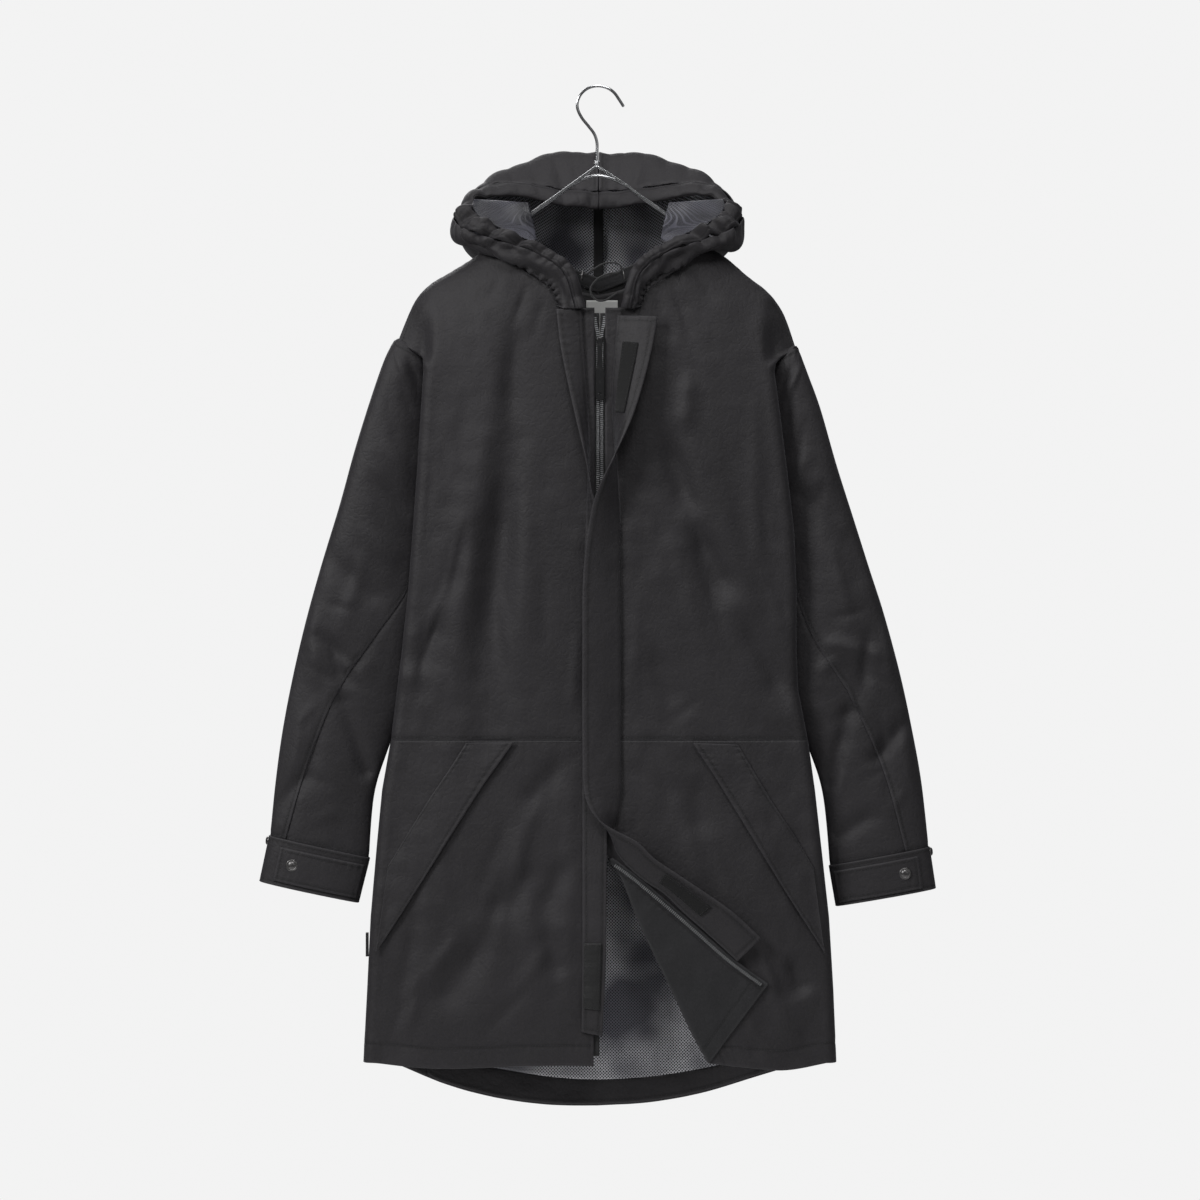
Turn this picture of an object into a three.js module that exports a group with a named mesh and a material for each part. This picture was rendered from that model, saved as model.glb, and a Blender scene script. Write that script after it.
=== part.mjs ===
// A hooded parka that hangs, closed at the zip, on a wire hanger. Millimetres, +Z up, front towards -Y.
// The origin is the underside of the hook's crown. X runs to the viewer's right, and "left" and
// "right" below are the viewer's. Cloth is a wall of even thickness, set out from a middle surface.
import * as THREE from "three";

const CLOTH = 1.6;
const LINING = 0.9;
const BAND = 2.2;
const SEAM_GAP = 0.35;
const SEAM_Y = 0.75;
const WAIST_Z = -750;
const ARMPIT_Z = -512;
const ARMHOLE_HALF = 9.4;
const LIP_RADIUS = 11;
const SHOULDER_ROUND = 130;
const WIRE = 3.4;
const ZIP_X = 1.5;
const SIDES = [
  { name: "left", sign: -1 },
  { name: "right", sign: 1 },
];

// Where the body's side folds lie at each height, and how far the front and back stand off.
const BODY = [
  { z: -240, left: -206, right: 203, front: 34, back: 40 },
  { z: -262, left: -221, right: 214, front: 36, back: 41 },
  { z: -289, left: -235, right: 229, front: 37, back: 42 },
  { z: -297, left: -223, right: 229, front: 38, back: 43 },
  { z: -304, left: -211, right: 221, front: 38, back: 43 },
  { z: -311, left: -201, right: 209, front: 38, back: 44 },
  { z: -319, left: -200, right: 202, front: 39, back: 44 },
  { z: -330, left: -200, right: 201, front: 39, back: 44 },
  { z: -375, left: -203, right: 207, front: 40, back: 45 },
  { z: -440, left: -207, right: 215, front: 41, back: 46 },
  { z: -510, left: -212, right: 223, front: 41, back: 46 },
  { z: -576, left: -217, right: 226, front: 41, back: 46 },
  { z: -644, left: -224, right: 226, front: 40, back: 45 },
  { z: -693, left: -230, right: 228, front: 39, back: 44 },
  { z: -750, left: -237, right: 239, front: 38, back: 44 },
  { z: -807, left: -247, right: 247, front: 40, back: 45 },
  { z: -870, left: -253, right: 254, front: 41, back: 46 },
  { z: -952, left: -260, right: 263, front: 42, back: 47 },
  { z: -1035, left: -264, right: 268, front: 42, back: 47 },
  { z: -1130, left: -269, right: 272, front: 40, back: 45 },
];

// The shoulder line, from the neck over the wire and down to the top of the armhole.
const SHOULDER = [
  { out: 0, left: -100, right: -100 },
  { out: 60, left: -135, right: -135 },
  { out: 113, left: -172, right: -173 },
  { out: 148, left: -200, right: -198 },
  { out: 171, left: -214, right: -218 },
  { out: 194, left: -228, right: -236 },
  { out: 206, left: -240, right: -248 },
  { out: 221, left: -262, right: -275 },
  { out: 236, left: -289, right: -305 },
];

// Long folds of the front: each falls away (deep below 0) or stands up along a line.
const FRONT_FOLDS = [
  { x0: -94, z0: -262, x1: -102, z1: -400, wide: 12, deep: -5 },
  { x0: -104, z0: -420, x1: -136, z1: -700, wide: 21, deep: -10 },
  { x0: -80, z0: -400, x1: -94, z1: -700, wide: 15, deep: 4 },
  { x0: -151, z0: -494, x1: -174, z1: -598, wide: 10, deep: -5 },
  { x0: -174, z0: -598, x1: -216, z1: -680, wide: 11, deep: -7 },
  { x0: 71, z0: -391, x1: 105, z1: -498, wide: 14, deep: -7 },
  { x0: 105, z0: -498, x1: 155, z1: -598, wide: 16, deep: -9 },
  { x0: 155, z0: -598, x1: 222, z1: -722, wide: 16, deep: -9 },
  { x0: 105, z0: -320, x1: 97, z1: -406, wide: 10, deep: 4 },
  { x0: 56, z0: -636, x1: 94, z1: -728, wide: 14, deep: -5 },
  { x0: -34, z0: -764, x1: -90, z1: -836, wide: 13, deep: -5 },
  { x0: -66, z0: -887, x1: -123, z1: -960, wide: 16, deep: -8 },
  { x0: -123, z0: -960, x1: -194, z1: -1072, wide: 17, deep: -8 },
  { x0: -30, z0: -876, x1: -70, z1: -960, wide: 14, deep: -6 },
  { x0: -62, z0: -960, x1: -40, z1: -1026, wide: 13, deep: -5 },
  { x0: 217, z0: -992, x1: 236, z1: -1047, wide: 12, deep: -7 },
  { x0: 113, z0: -784, x1: 116, z1: -866, wide: 16, deep: -5 },
];
const BACK_FOLDS = [
  { x0: -110, z0: -330, x1: -128, z1: -700, wide: 24, deep: -8 },
  { x0: 96, z0: -340, x1: 132, z1: -690, wide: 22, deep: -9 },
  { x0: -10, z0: -420, x1: 18, z1: -760, wide: 26, deep: 5 },
  { x0: -60, z0: -780, x1: -90, z1: -1120, wide: 24, deep: -7 },
  { x0: 70, z0: -800, x1: 84, z1: -1130, wide: 22, deep: -7 },
  { x0: 190, z0: -820, x1: 206, z1: -1090, wide: 18, deep: -6 },
];

// Sleeve rings from the armhole to the cuff: the outer fold, the inner fold, the half depth, and
// how far across from the inner fold the seam between top sleeve and under sleeve lies.
const SLEEVES = {
  left: [
    { ox: -235, oz: -292, ix: -190, iz: -317, deep: 12, split: 0.05 },
    { ox: -246, oz: -314, ix: -190, iz: -336, deep: 18, split: 0.04 },
    { ox: -262, oz: -360, ix: -190, iz: -388, deep: 20, split: 0.035 },
    { ox: -280, oz: -418, ix: -190, iz: -449, deep: 21, split: 0.03 },
    { ox: -297, oz: -480, ix: -190, iz: -498, deep: 21, split: 0.03 },
    { ox: -318, oz: -549, ix: -190, iz: -572, deep: 21, split: 0.07 },
    { ox: -336, oz: -614, ix: -190, iz: -641, deep: 21, split: 0.34 },
    { ox: -351, oz: -678, ix: -222, iz: -708, deep: 20, split: 0.57 },
    { ox: -363, oz: -741, ix: -244, iz: -764, deep: 20, split: 0.66 },
    { ox: -371, oz: -800, ix: -259, iz: -814, deep: 19, split: 0.74 },
    { ox: -377, oz: -860, ix: -265, iz: -885, deep: 18, split: 0.84 },
  ],
  right: [
    { ox: 229, oz: -300, ix: 190, iz: -322, deep: 10.6, split: 0.05 },
    { ox: 241, oz: -332, ix: 190, iz: -350, deep: 18, split: 0.04 },
    { ox: 255, oz: -371, ix: 190, iz: -396, deep: 20, split: 0.035 },
    { ox: 273, oz: -434, ix: 190, iz: -454, deep: 21, split: 0.03 },
    { ox: 292, oz: -494, ix: 190, iz: -507, deep: 21, split: 0.03 },
    { ox: 311, oz: -554, ix: 190, iz: -570, deep: 21, split: 0.07 },
    { ox: 328, oz: -607, ix: 190, iz: -630, deep: 21, split: 0.22 },
    { ox: 347, oz: -678, ix: 216, iz: -699, deep: 20, split: 0.48 },
    { ox: 361, oz: -744, ix: 243, iz: -762, deep: 20, split: 0.59 },
    { ox: 371, oz: -801, ix: 259, iz: -814, deep: 19, split: 0.66 },
    { ox: 379, oz: -873, ix: 267, iz: -894, deep: 18, split: 0.76 },
  ],
};
const CUFFS = {
  left: { ox: -388, oz: -913, ix: -278, iz: -937 },
  right: { ox: 386, oz: -921, ix: 275, iz: -941 },
};
const SLEEVE_Y = 3;
const SLEEVE_SQUARE = 2.5;
const INNER_SHARE = 0.72;
const BESIDE_BODY = 2.6;
const SLEEVE_FOLDS = [
  { x0: -292, z0: -706, x1: -266, z1: -786, wide: 9, deep: -7 },
  { x0: -322, z0: -632, x1: -278, z1: -660, wide: 9, deep: -5 },
  { x0: -374, z0: -834, x1: -344, z1: -795, wide: 9, deep: -5 },
  { x0: -330, z0: -520, x1: -262, z1: -585, wide: 13, deep: -5 },
  { x0: 289, z0: -717, x1: 264, z1: -800, wide: 9, deep: -7 },
  { x0: 270, z0: -640, x1: 318, z1: -652, wide: 9, deep: 5 },
  { x0: 318, z0: -771, x1: 352, z1: -732, wide: 10, deep: -7 },
  { x0: 276, z0: -860, x1: 308, z1: -840, wide: 9, deep: -5 },
  { x0: 240, z0: -470, x1: 300, z1: -560, wide: 13, deep: -4 },
];

// Half of the hood, for the viewer's left; the other half mirrors it. Each row is a profile from
// the neck seam, out and round the bag, to the gathered rim: row 1 at the front, the last at the back.
const HOOD = [
  { neck: [-45, -38, -249.6], low: [-38, -42, -247], side: [-30, -45, -245], crest: [-22, -45, -243],
    rim: [-13, -43, -241] },
  { neck: [-55, -37, -232.6], low: [-51, -43, -228], side: [-44, -48, -223], crest: [-37, -50, -217],
    rim: [-29, -48, -212] },
  { neck: [-79, -36, -214], low: [-78, -39, -212], side: [-73, -46, -204], crest: [-66, -48, -197],
    rim: [-58, -45, -189] },
  { neck: [-100, -29, -196], low: [-112, -32, -198], side: [-117, -39, -190], crest: [-110, -42, -180],
    rim: [-99, -38, -171] },
  { neck: [-111, -8, -166], low: [-138, -15, -186], side: [-156, -20, -181], crest: [-158, -21, -163],
    rim: [-139, -19, -149] },
  { neck: [-110, 7, -166], low: [-138, 26, -184], side: [-160, 38, -170], crest: [-160, 34, -136],
    rim: [-143, 13, -127] },
  { neck: [-88, 27, -185], low: [-108, 70, -222], side: [-135, 88, -178], crest: [-121, 66, -101],
    rim: [-105, 28, -121] },
  { neck: [-44, 35, -216], low: [-62, 96, -255], side: [-76, 118, -190], crest: [-64, 88, -81],
    rim: [-46, 37, -131] },
  { neck: [-0.8, 35, -234], low: [-0.8, 104, -272], side: [-0.8, 128, -195], crest: [-0.8, 88, -75],
    rim: [-0.8, 40, -136] },
];
const RIM_HALF_WIDTH = 11;
const RIM_HALF_THICK = 4.5;

const root = new THREE.Group();
const SHELL_CLOTH = new THREE.MeshStandardMaterial({ color: 0x2d2c2f, roughness: 0.85 });
const MESH_LINING = new THREE.MeshStandardMaterial({ color: 0x5f5f68, roughness: 0.8 });
const TAPE = new THREE.MeshStandardMaterial({ color: 0x151516, roughness: 0.9 });
const STEEL = new THREE.MeshStandardMaterial({ color: 0xb9bcc0, roughness: 0.25, metalness: 1 });
const LABEL_CLOTH = new THREE.MeshStandardMaterial({ color: 0xe8e8e6, roughness: 0.9 });
const CORD = new THREE.MeshStandardMaterial({ color: 0x1a1a1b, roughness: 0.8 });

const clamp = (v) => Math.min(1, Math.max(0, v));
const smooth = (v) => clamp(v) ** 2 * (3 - 2 * clamp(v));
const lerp = (a, b, t) => a + (b - a) * t;

// A cubic through four values, the second and third at t = 0 and 1.
function cubic(a, b, c, d, t) {
  return 0.5 * (2 * b + (c - a) * t + (2 * a - 5 * b + 4 * c - d) * t * t + (3 * b - a - 3 * c + d) * t ** 3);
}

// The value of a smooth curve through the rows of a table, at t from 0 to 1.
function along(rows, t, pick) {
  const place = clamp(t) * (rows.length - 1);
  const i = Math.min(rows.length - 2, Math.floor(place));
  const row = (k) => pick(rows[Math.min(rows.length - 1, Math.max(0, k))]);
  return cubic(row(i - 1), row(i), row(i + 1), row(i + 2), place - i);
}

// A column of a table at a value of its key column, straight between rows.
function column(rows, key, value, name) {
  const rising = rows[1][key] > rows[0][key] ? 1 : -1;
  let i = 0;
  while (i < rows.length - 2 && rising * value > rising * rows[i + 1][key]) i++;
  const t = clamp((value - rows[i][key]) / (rows[i + 1][key] - rows[i][key]));
  return lerp(rows[i][name], rows[i + 1][name], t);
}

// How far a set of folds moves the cloth outward at a point.
function foldsAt(folds, x, z) {
  let total = 0;
  for (const f of folds) {
    const lx = f.x1 - f.x0;
    const lz = f.z1 - f.z0;
    const t = clamp(((x - f.x0) * lx + (z - f.z0) * lz) / (lx * lx + lz * lz));
    const d = Math.hypot(x - f.x0 - t * lx, z - f.z0 - t * lz);
    total += f.deep * Math.exp(-((d / f.wide) ** 2));
  }
  return total;
}

const sideName = (x) => (x < 0 ? "left" : "right");
const foldX = (name, z) => column(BODY, "z", z, name);
const lipRadius = (z) => lerp(2.2, LIP_RADIUS, smooth((-306 - z) / 26));
const shoulderZ = (x) => column(SHOULDER, "out", Math.abs(x), sideName(x));

// The share of the full depth that a point has under the rounded shoulder.
function underShoulder(x, z) {
  const h = clamp((shoulderZ(x) - z) / SHOULDER_ROUND);
  return Math.sqrt(h * (2 - h));
}

// The front and back as heights over the X-Z plane, on the cloth's middle surface.
function frontY(x, z) {
  const name = sideName(x);
  const edge = Math.abs(foldX(name, z)) - lipRadius(z);
  const crown = 1 - 0.14 * smooth((Math.abs(x) - edge + 70) / 70);
  const tuck = smooth((Math.abs(x) - 186) / 16) * smooth((-236 - z) / 60) * smooth((z + 322) / 14);
  const deep = lerp(column(BODY, "z", z, "front") * crown, 12, tuck);
  return -SEAM_Y - deep * underShoulder(x, z) - foldsAt(FRONT_FOLDS, x, z) * underShoulder(x, z);
}
function backY(x, z) {
  const name = sideName(x);
  const edge = Math.abs(foldX(name, z)) - lipRadius(z);
  const crown = 1 - 0.14 * smooth((Math.abs(x) - edge + 70) / 70);
  const tuck = smooth((Math.abs(x) - 186) / 16) * smooth((-236 - z) / 60) * smooth((z + 322) / 14);
  const neck = 1 - 0.18 * Math.exp(-(((z + 236) / 50) ** 2) - (x / 80) ** 2);
  const deep = lerp(column(BODY, "z", z, "back") * crown * neck, 12, tuck);
  return SEAM_Y + deep * underShoulder(x, z) + foldsAt(BACK_FOLDS, x, z) * underShoulder(x, z);
}

// A closed wall round a grid of points: grid[i][j], i across and j along. With ring, i closes on itself.
function wall(name, grid, thick, material, ring = false) {
  const nu = grid.length;
  const nv = grid[0].length;
  const pick = (i, j) => grid[ring ? (i + nu) % nu : Math.min(nu - 1, Math.max(0, i))][Math.min(nv - 1,
    Math.max(0, j))];
  const positions = [];
  for (const side of [1, -1])
    for (let i = 0; i < nu; i++)
      for (let j = 0; j < nv; j++) {
        const across = pick(i + 1, j).clone().sub(pick(i - 1, j));
        const down = pick(i, j + 1).clone().sub(pick(i, j - 1));
        const normal = across.cross(down).normalize();
        const p = grid[i][j].clone().addScaledVector(normal, (side * thick) / 2);
        positions.push(p.x, p.y, p.z);
      }
  const faces = [];
  const quad = (a, b, c, d) => faces.push(a, b, c, a, c, d);
  const outer = (i, j) => (i % nu) * nv + j;
  const inner = (i, j) => nu * nv + outer(i, j);
  for (let i = 0; i < (ring ? nu : nu - 1); i++) {
    for (let j = 0; j < nv - 1; j++) {
      quad(outer(i, j), outer(i + 1, j), outer(i + 1, j + 1), outer(i, j + 1));
      quad(inner(i, j), inner(i, j + 1), inner(i + 1, j + 1), inner(i + 1, j));
    }
    quad(outer(i + 1, 0), outer(i, 0), inner(i, 0), inner(i + 1, 0));
    quad(outer(i, nv - 1), outer(i + 1, nv - 1), inner(i + 1, nv - 1), inner(i, nv - 1));
  }
  for (let j = 0; j < nv - 1 && !ring; j++) {
    quad(outer(0, j), outer(0, j + 1), inner(0, j + 1), inner(0, j));
    quad(outer(nu - 1, j + 1), outer(nu - 1, j), inner(nu - 1, j), inner(nu - 1, j + 1));
  }
  return addSolid(name, positions, faces, material);
}

// Adds a named mesh, with its faces turned outward.
function addSolid(name, positions, faces, material) {
  let volume = 0;
  const v = (k) => new THREE.Vector3(positions[3 * k], positions[3 * k + 1], positions[3 * k + 2]);
  for (let k = 0; k < faces.length; k += 3) volume += v(faces[k]).dot(v(faces[k + 1]).cross(v(faces[k + 2])));
  if (volume < 0) for (let k = 0; k < faces.length; k += 3) [faces[k + 1], faces[k + 2]] = [faces[k + 2],
    faces[k + 1]];
  const geometry = new THREE.BufferGeometry();
  geometry.setAttribute("position", new THREE.Float32BufferAttribute(positions, 3));
  geometry.setIndex(faces);
  geometry.computeVertexNormals();
  const mesh = new THREE.Mesh(geometry, material);
  mesh.name = name;
  root.add(mesh);
  return mesh;
}

const steps = (n) => Array.from({ length: n + 1 }, (_, k) => k / n);

// A patch between four edges, each a function from 0 to 1 that gives [x, z].
function patch(top, bottom, inner, outer, ss, ts) {
  const corner = (s, t) => (t ? bottom(s) : top(s));
  return ss.map((s) =>
    ts.map((t) =>
      [0, 1].map(
        (k) =>
          lerp(top(s)[k], bottom(s)[k], t) +
          lerp(inner(t)[k], outer(t)[k], s) -
          lerp(lerp(corner(0, 0)[k], corner(1, 0)[k], s), lerp(corner(0, 1)[k], corner(1, 1)[k], s), t),
      ),
    ),
  );
}

const path2 = (points) => (t) => [along(points, t, (p) => p[0]), along(points, t, (p) => p[1])];
const straight2 = (a, b) => (t) => [lerp(a[0], b[0], t), lerp(a[1], b[1], t)];

// Rows of a body panel at the side, closer where the armhole starts and ends.
const ARMHOLE_TOP = { left: [-291, -299, -307, -316], right: [-298, -305, -312, -320] };
const UPPER_SIDE_ROWS = [-330, -362, -405, -450, -488, -508, -526, -560, -605, -655, -703, -749.8];
const LOWER_SIDE_ROWS = [-750.3, -790, -835, -880, -930, -985, -1040, -1085, -1118];

// The fold lip at the side of a panel: a half round, then, under the arm, a wall to the side seam.
const LIP_TURNS = [0.25, 0.5, 0.75, 1];
function lip(sign, z, y, face) {
  const name = sign < 0 ? "left" : "right";
  const fold = foldX(name, z);
  const r = lipRadius(z);
  const points = LIP_TURNS.map((a) => {
    const turn = a * Math.PI;
    return new THREE.Vector3(fold - sign * r * (1 - Math.sin(turn)), y - face * r * (1 - Math.cos(turn)), z);
  });
  const last = points[points.length - 1];
  const closed = smooth((ARMPIT_Z + 6 - z) / 14);
  const open = smooth((-306 - z) / 26);
  const armholeY = lerp(last.y - face * 1.5, SLEEVE_Y + face * ARMHOLE_HALF, open);
  points.push(new THREE.Vector3(last.x, lerp(armholeY, SLEEVE_Y + face * SEAM_GAP, closed), z));
  return points;
}

// A front or back panel: its patch in X and Z raised to the body's surface, with a lip at the side.
function panelGrid(cells, sign, face) {
  const height = face < 0 ? frontY : backY;
  const grid = cells.map((line) => line.map(([x, z]) => new THREE.Vector3(x, height(x, z), z)));
  const last = grid[grid.length - 1];
  const lips = last.map((p) => lip(sign, p.z, p.y, face));
  for (let k = 0; k < lips[0].length; k++) grid.push(lips.map((points) => points[k]));
  return grid;
}

const sideEdge = (name, sign, z0, z1) => (t) => {
  const z = lerp(z0, z1, t);
  return [foldX(name, z) - sign * lipRadius(z), z];
};
const rowShares = (rows) => rows.map((z) => (z - rows[0]) / (rows[rows.length - 1] - rows[0]));

// Top edges of the fronts, from the zip round the neck, up to the shoulder and out to the armhole.
const FRONT_TOP = {
  left: [[-5, -256], [-26, -256], [-46, -251], [-51, -238], [-67, -226], [-90, -210], [-106, -195],
    [-113, -172.5], [-131, -187], [-148, -200], [-171, -214], [-194, -228], [-212, -249], [-233, -289]],
  right: [[8, -256], [26, -256], [48, -251], [53, -238], [69, -226], [92, -210], [107, -195], [113, -173.5],
    [131, -187], [148, -198], [171, -218], [194, -236], [212, -260], [227, -290]],
};
const FRONT_HEM = {
  left: [[-6, -1121], [-76, -1121], [-182, -1124], [-256, -1120]],
  right: [[125, -1118], [162, -1122], [213, -1126], [259, -1122]],
};
const CENTRE_LOWER = {
  left: [[-6, WAIST_Z - SEAM_GAP], [-6, -1121]],
  right: [[8, WAIST_Z - SEAM_GAP], [9, -830], [10, -878], [26, -907], [48, -962], [79, -1026], [105, -1081],
    [125, -1118]],
};

function fronts() {
  for (const { name, sign } of SIDES) {
    const waistOut = foldX(name, WAIST_Z) - sign * LIP_RADIUS;
    const centre = FRONT_TOP[name][0][0];
    const rows = [...ARMHOLE_TOP[name], ...UPPER_SIDE_ROWS];
    const side = sideEdge(name, sign, rows[0], rows[rows.length - 1]);
    const waistUp = WAIST_Z + SEAM_GAP;
    const upper = patch(
      path2([...FRONT_TOP[name].slice(0, -1), side(0)]),
      straight2([centre, waistUp], [waistOut, waistUp]),
      straight2([centre, -256], [centre, waistUp]),
      side,
      steps(11),
      rowShares(rows),
    );
    wall("front_upper_" + name, panelGrid(upper, sign, -1), CLOTH, SHELL_CLOTH);
    const low = LOWER_SIDE_ROWS;
    const lower = patch(
      straight2([centre, WAIST_Z - SEAM_GAP], [waistOut, WAIST_Z - SEAM_GAP]),
      path2([...FRONT_HEM[name].slice(0, -1), sideEdge(name, sign, low[0], low[low.length - 1])(1)]),
      path2([[centre, WAIST_Z - SEAM_GAP], ...CENTRE_LOWER[name].slice(1)]),
      sideEdge(name, sign, low[0], low[low.length - 1]),
      steps(10),
      rowShares(low),
    );
    wall("front_lower_" + name, panelGrid(lower, sign, -1), CLOTH, SHELL_CLOTH);
  }
}

// The back is one piece, set out from its middle to each side fold.
const BACK_TOP = {
  left: [[-1, -237], [-28, -230], [-60, -212], [-90, -191], [-113, -172.5], [-131, -187], [-148, -200],
    [-171, -214], [-194, -228], [-212, -249], [-233, -289]],
  right: [[-1, -237], [28, -230], [60, -212], [90, -191], [113, -173.5], [131, -187], [148, -198],
    [171, -218], [194, -236], [212, -260], [227, -290]],
};
const BACK_HEM = {
  left: [[-1, -1176], [-58, -1175], [-118, -1167], [-178, -1151], [-237, -1126], [-257, -1119]],
  right: [[-1, -1176], [61, -1172], [121, -1161], [181, -1143], [233, -1127], [260, -1120]],
};
const BACK_SIDE_ROWS = [-330, -370, -430, -488, -508, -526, -580, -645, -715, -790, -870, -950, -1035,
  -1090, -1118];

function back() {
  const halves = SIDES.map(({ name, sign }) => {
    const rows = [...ARMHOLE_TOP[name], ...BACK_SIDE_ROWS];
    const side = sideEdge(name, sign, rows[0], rows[rows.length - 1]);
    const cells = patch(
      path2([...BACK_TOP[name].slice(0, -1), side(0)]),
      path2([...BACK_HEM[name].slice(0, -1), side(1)]),
      straight2([-1, -237], [-1, -1176]),
      side,
      steps(9),
      rowShares(rows),
    );
    return panelGrid(cells, sign, 1);
  });
  wall("back_panel", [...halves[0].slice(1).reverse(), ...halves[1]], CLOTH, SHELL_CLOTH);
}

// The inside of the back below the zip: its net lining, and the plain facing along its hem.
const FACING_TOP = [[-198, -1112], [-166, -1123], [-118, -1133], [-58, -1142.5], [-4, -1146], [61, -1142.5],
  [121, -1133], [162, -1123], [198, -1112]];
const FACING_LOW = [[-198, -1139], [-178, -1148.5], [-118, -1164.5], [-58, -1172.5], [-4, -1173.5],
  [61, -1169.5], [121, -1158.5], [181, -1140.5], [198, -1135]];
const FACING_OFF = 3.3;
const LINING_OFF = 4.2;

function backInside() {
  const raise = (cells, off) => cells.map((line) => line.map(([x, z]) => new THREE.Vector3(x,
    backY(x, z) - off, z)));
  const top = path2(FACING_TOP);
  const facing = patch(top, path2(FACING_LOW), straight2(FACING_TOP[0], FACING_LOW[0]),
    straight2(FACING_TOP[8], FACING_LOW[8]), steps(16), steps(1));
  wall("back_hem_facing", raise(facing, FACING_OFF), CLOTH, TAPE);
  const above = (s) => [lerp(-198, 198, s), -800];
  const below = (s) => [top(s)[0], top(s)[1] + 0.6];
  const lining = patch(above, below, straight2(above(0), below(0)), straight2(above(1), below(1)),
    steps(16), steps(6));
  wall("back_lining", raise(lining, LINING_OFF), LINING, MESH_LINING);
}

// A ring of a sleeve at v from 0 at the armhole to 1 at the cuff, at a turn from 0 at the outer fold.
function sleevePoint(rows, v, turn, grow = 0) {
  const get = (key) => along(rows, v, (r) => r[key]);
  const outer = new THREE.Vector2(get("ox"), get("oz"));
  const sign = Math.sign(outer.x);
  const beside = Math.abs(foldX(sideName(sign), get("iz"))) - lipRadius(get("iz")) + BESIDE_BODY;
  const inner = new THREE.Vector2(sign * Math.max(beside, Math.abs(get("ix"))), get("iz"));
  const c = Math.cos(turn);
  const s = Math.sin(turn);
  const across = Math.sign(c) * Math.abs(c) ** (2 / SLEEVE_SQUARE);
  const out = Math.sign(s) * Math.abs(s) ** (2 / SLEEVE_SQUARE);
  const half = outer.clone().sub(inner).multiplyScalar(0.5);
  const middle = outer.clone().add(inner).multiplyScalar(0.5);
  const stretch = 1 + grow / half.length();
  const x = middle.x + half.x * across * stretch;
  const z = middle.y + half.y * across * stretch;
  const folds = out < 0 ? foldsAt(SLEEVE_FOLDS, x, z) * -out : 0;
  const fuller = lerp(INNER_SHARE, 1, (1 + across) / 2);
  return new THREE.Vector3(x, SLEEVE_Y + out * (get("deep") * fuller + grow) - folds, z);
}
function splitTurn(rows, v) {
  const share = 2 * along(rows, v, (r) => r.split) - 1;
  return Math.acos(Math.sign(share) * Math.abs(share) ** (SLEEVE_SQUARE / 2));
}

const SLEEVE_ROWS = steps(18);
const UNDER_START = 0.44;

function sleeves() {
  for (const { name } of SIDES) {
    const rows = SLEEVES[name];
    const gapTurn = (v) => (1.7 * SEAM_GAP) / Math.max(14, Math.abs(along(rows, v, (r) => r.ox - r.ix)) / 2);
    const top = steps(9).map((s) =>
      SLEEVE_ROWS.map((v) => {
        const end = splitTurn(rows, v) - gapTurn(v);
        return sleevePoint(rows, v, lerp(-end, end, s));
      }),
    );
    wall("sleeve_top_" + name, top, CLOTH, SHELL_CLOTH);
    const under = steps(7).map((s) =>
      SLEEVE_ROWS.filter((v) => v >= UNDER_START).map((v) => {
        const end = splitTurn(rows, v) + gapTurn(v);
        return sleevePoint(rows, v, lerp(end, 2 * Math.PI - end, s));
      }),
    );
    wall("sleeve_under_" + name, under, CLOTH, SHELL_CLOTH);
  }
}

// Cuffs are closed bands, with a tab across the front that a snap holds.
const TABS = {
  left: { from: 0.02, to: 0.68, upper: 0.22, lower: 0.86, snap: 0.585 },
  right: { from: 0.02, to: 0.66, upper: 0.2, lower: 0.88, snap: 0.53 },
};
const TAB_OFF = 2.5;
const SNAP_RADIUS = 7;
const SNAP_THICK = 2.4;

function cuffPoint(name, share, v, off = 0) {
  const last = SLEEVES[name][SLEEVES[name].length - 1];
  const end = { ...last, ...CUFFS[name] };
  const from = { ...last, oz: last.oz - 1, iz: last.iz - 1 };
  const turn = share * 2 * Math.PI;
  return sleevePoint([from, end], v, turn, 1.2 + off);
}

function cuffs() {
  for (const { name } of SIDES) {
    const ring = steps(18).slice(0, -1).map((u) => steps(3).map((v) => cuffPoint(name, u, v)));
    wall("cuff_" + name, ring, BAND, SHELL_CLOTH, true);
    const tab = TABS[name];
    // On the front the turn goes from a half (the inner fold) to a whole (the outer fold).
    const onFront = (s) => 0.5 + 0.5 * lerp(0.16, 0.72, s);
    const sheet = steps(7).map((s) => steps(2).map((t) => cuffPoint(name, onFront(s),
      lerp(tab.upper, tab.lower, t), TAB_OFF)));
    wall("cuff_tab_" + name, sheet, CLOTH, SHELL_CLOTH);
    const at = cuffPoint(name, onFront(0.8), 0.5, TAB_OFF);
    const around = [0.64, 0.8, 0.96].flatMap((s) => [0.2, 0.5,
      0.8].map((t) => cuffPoint(name, onFront(s), t, TAB_OFF).y));
    at.y = Math.min(...around) - CLOTH / 2 - SEAM_GAP - SNAP_THICK / 2;
    disc("cuff_snap_" + name, at, SNAP_RADIUS, SNAP_THICK);
  }
}

// A flat round fastener that faces the viewer.
function disc(name, at, radius, thick) {
  const profile = [[0, -thick / 2], [radius, -thick / 2], [radius, 0], [radius * 0.7, thick / 2],
    [0, thick / 2]];
  const geometry = new THREE.LatheGeometry(profile.map(([x, y]) => new THREE.Vector2(x, y)), 12);
  const mesh = new THREE.Mesh(geometry, STEEL);
  mesh.name = name;
  mesh.rotation.x = Math.PI;
  mesh.position.copy(at);
  root.add(mesh);
}

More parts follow.
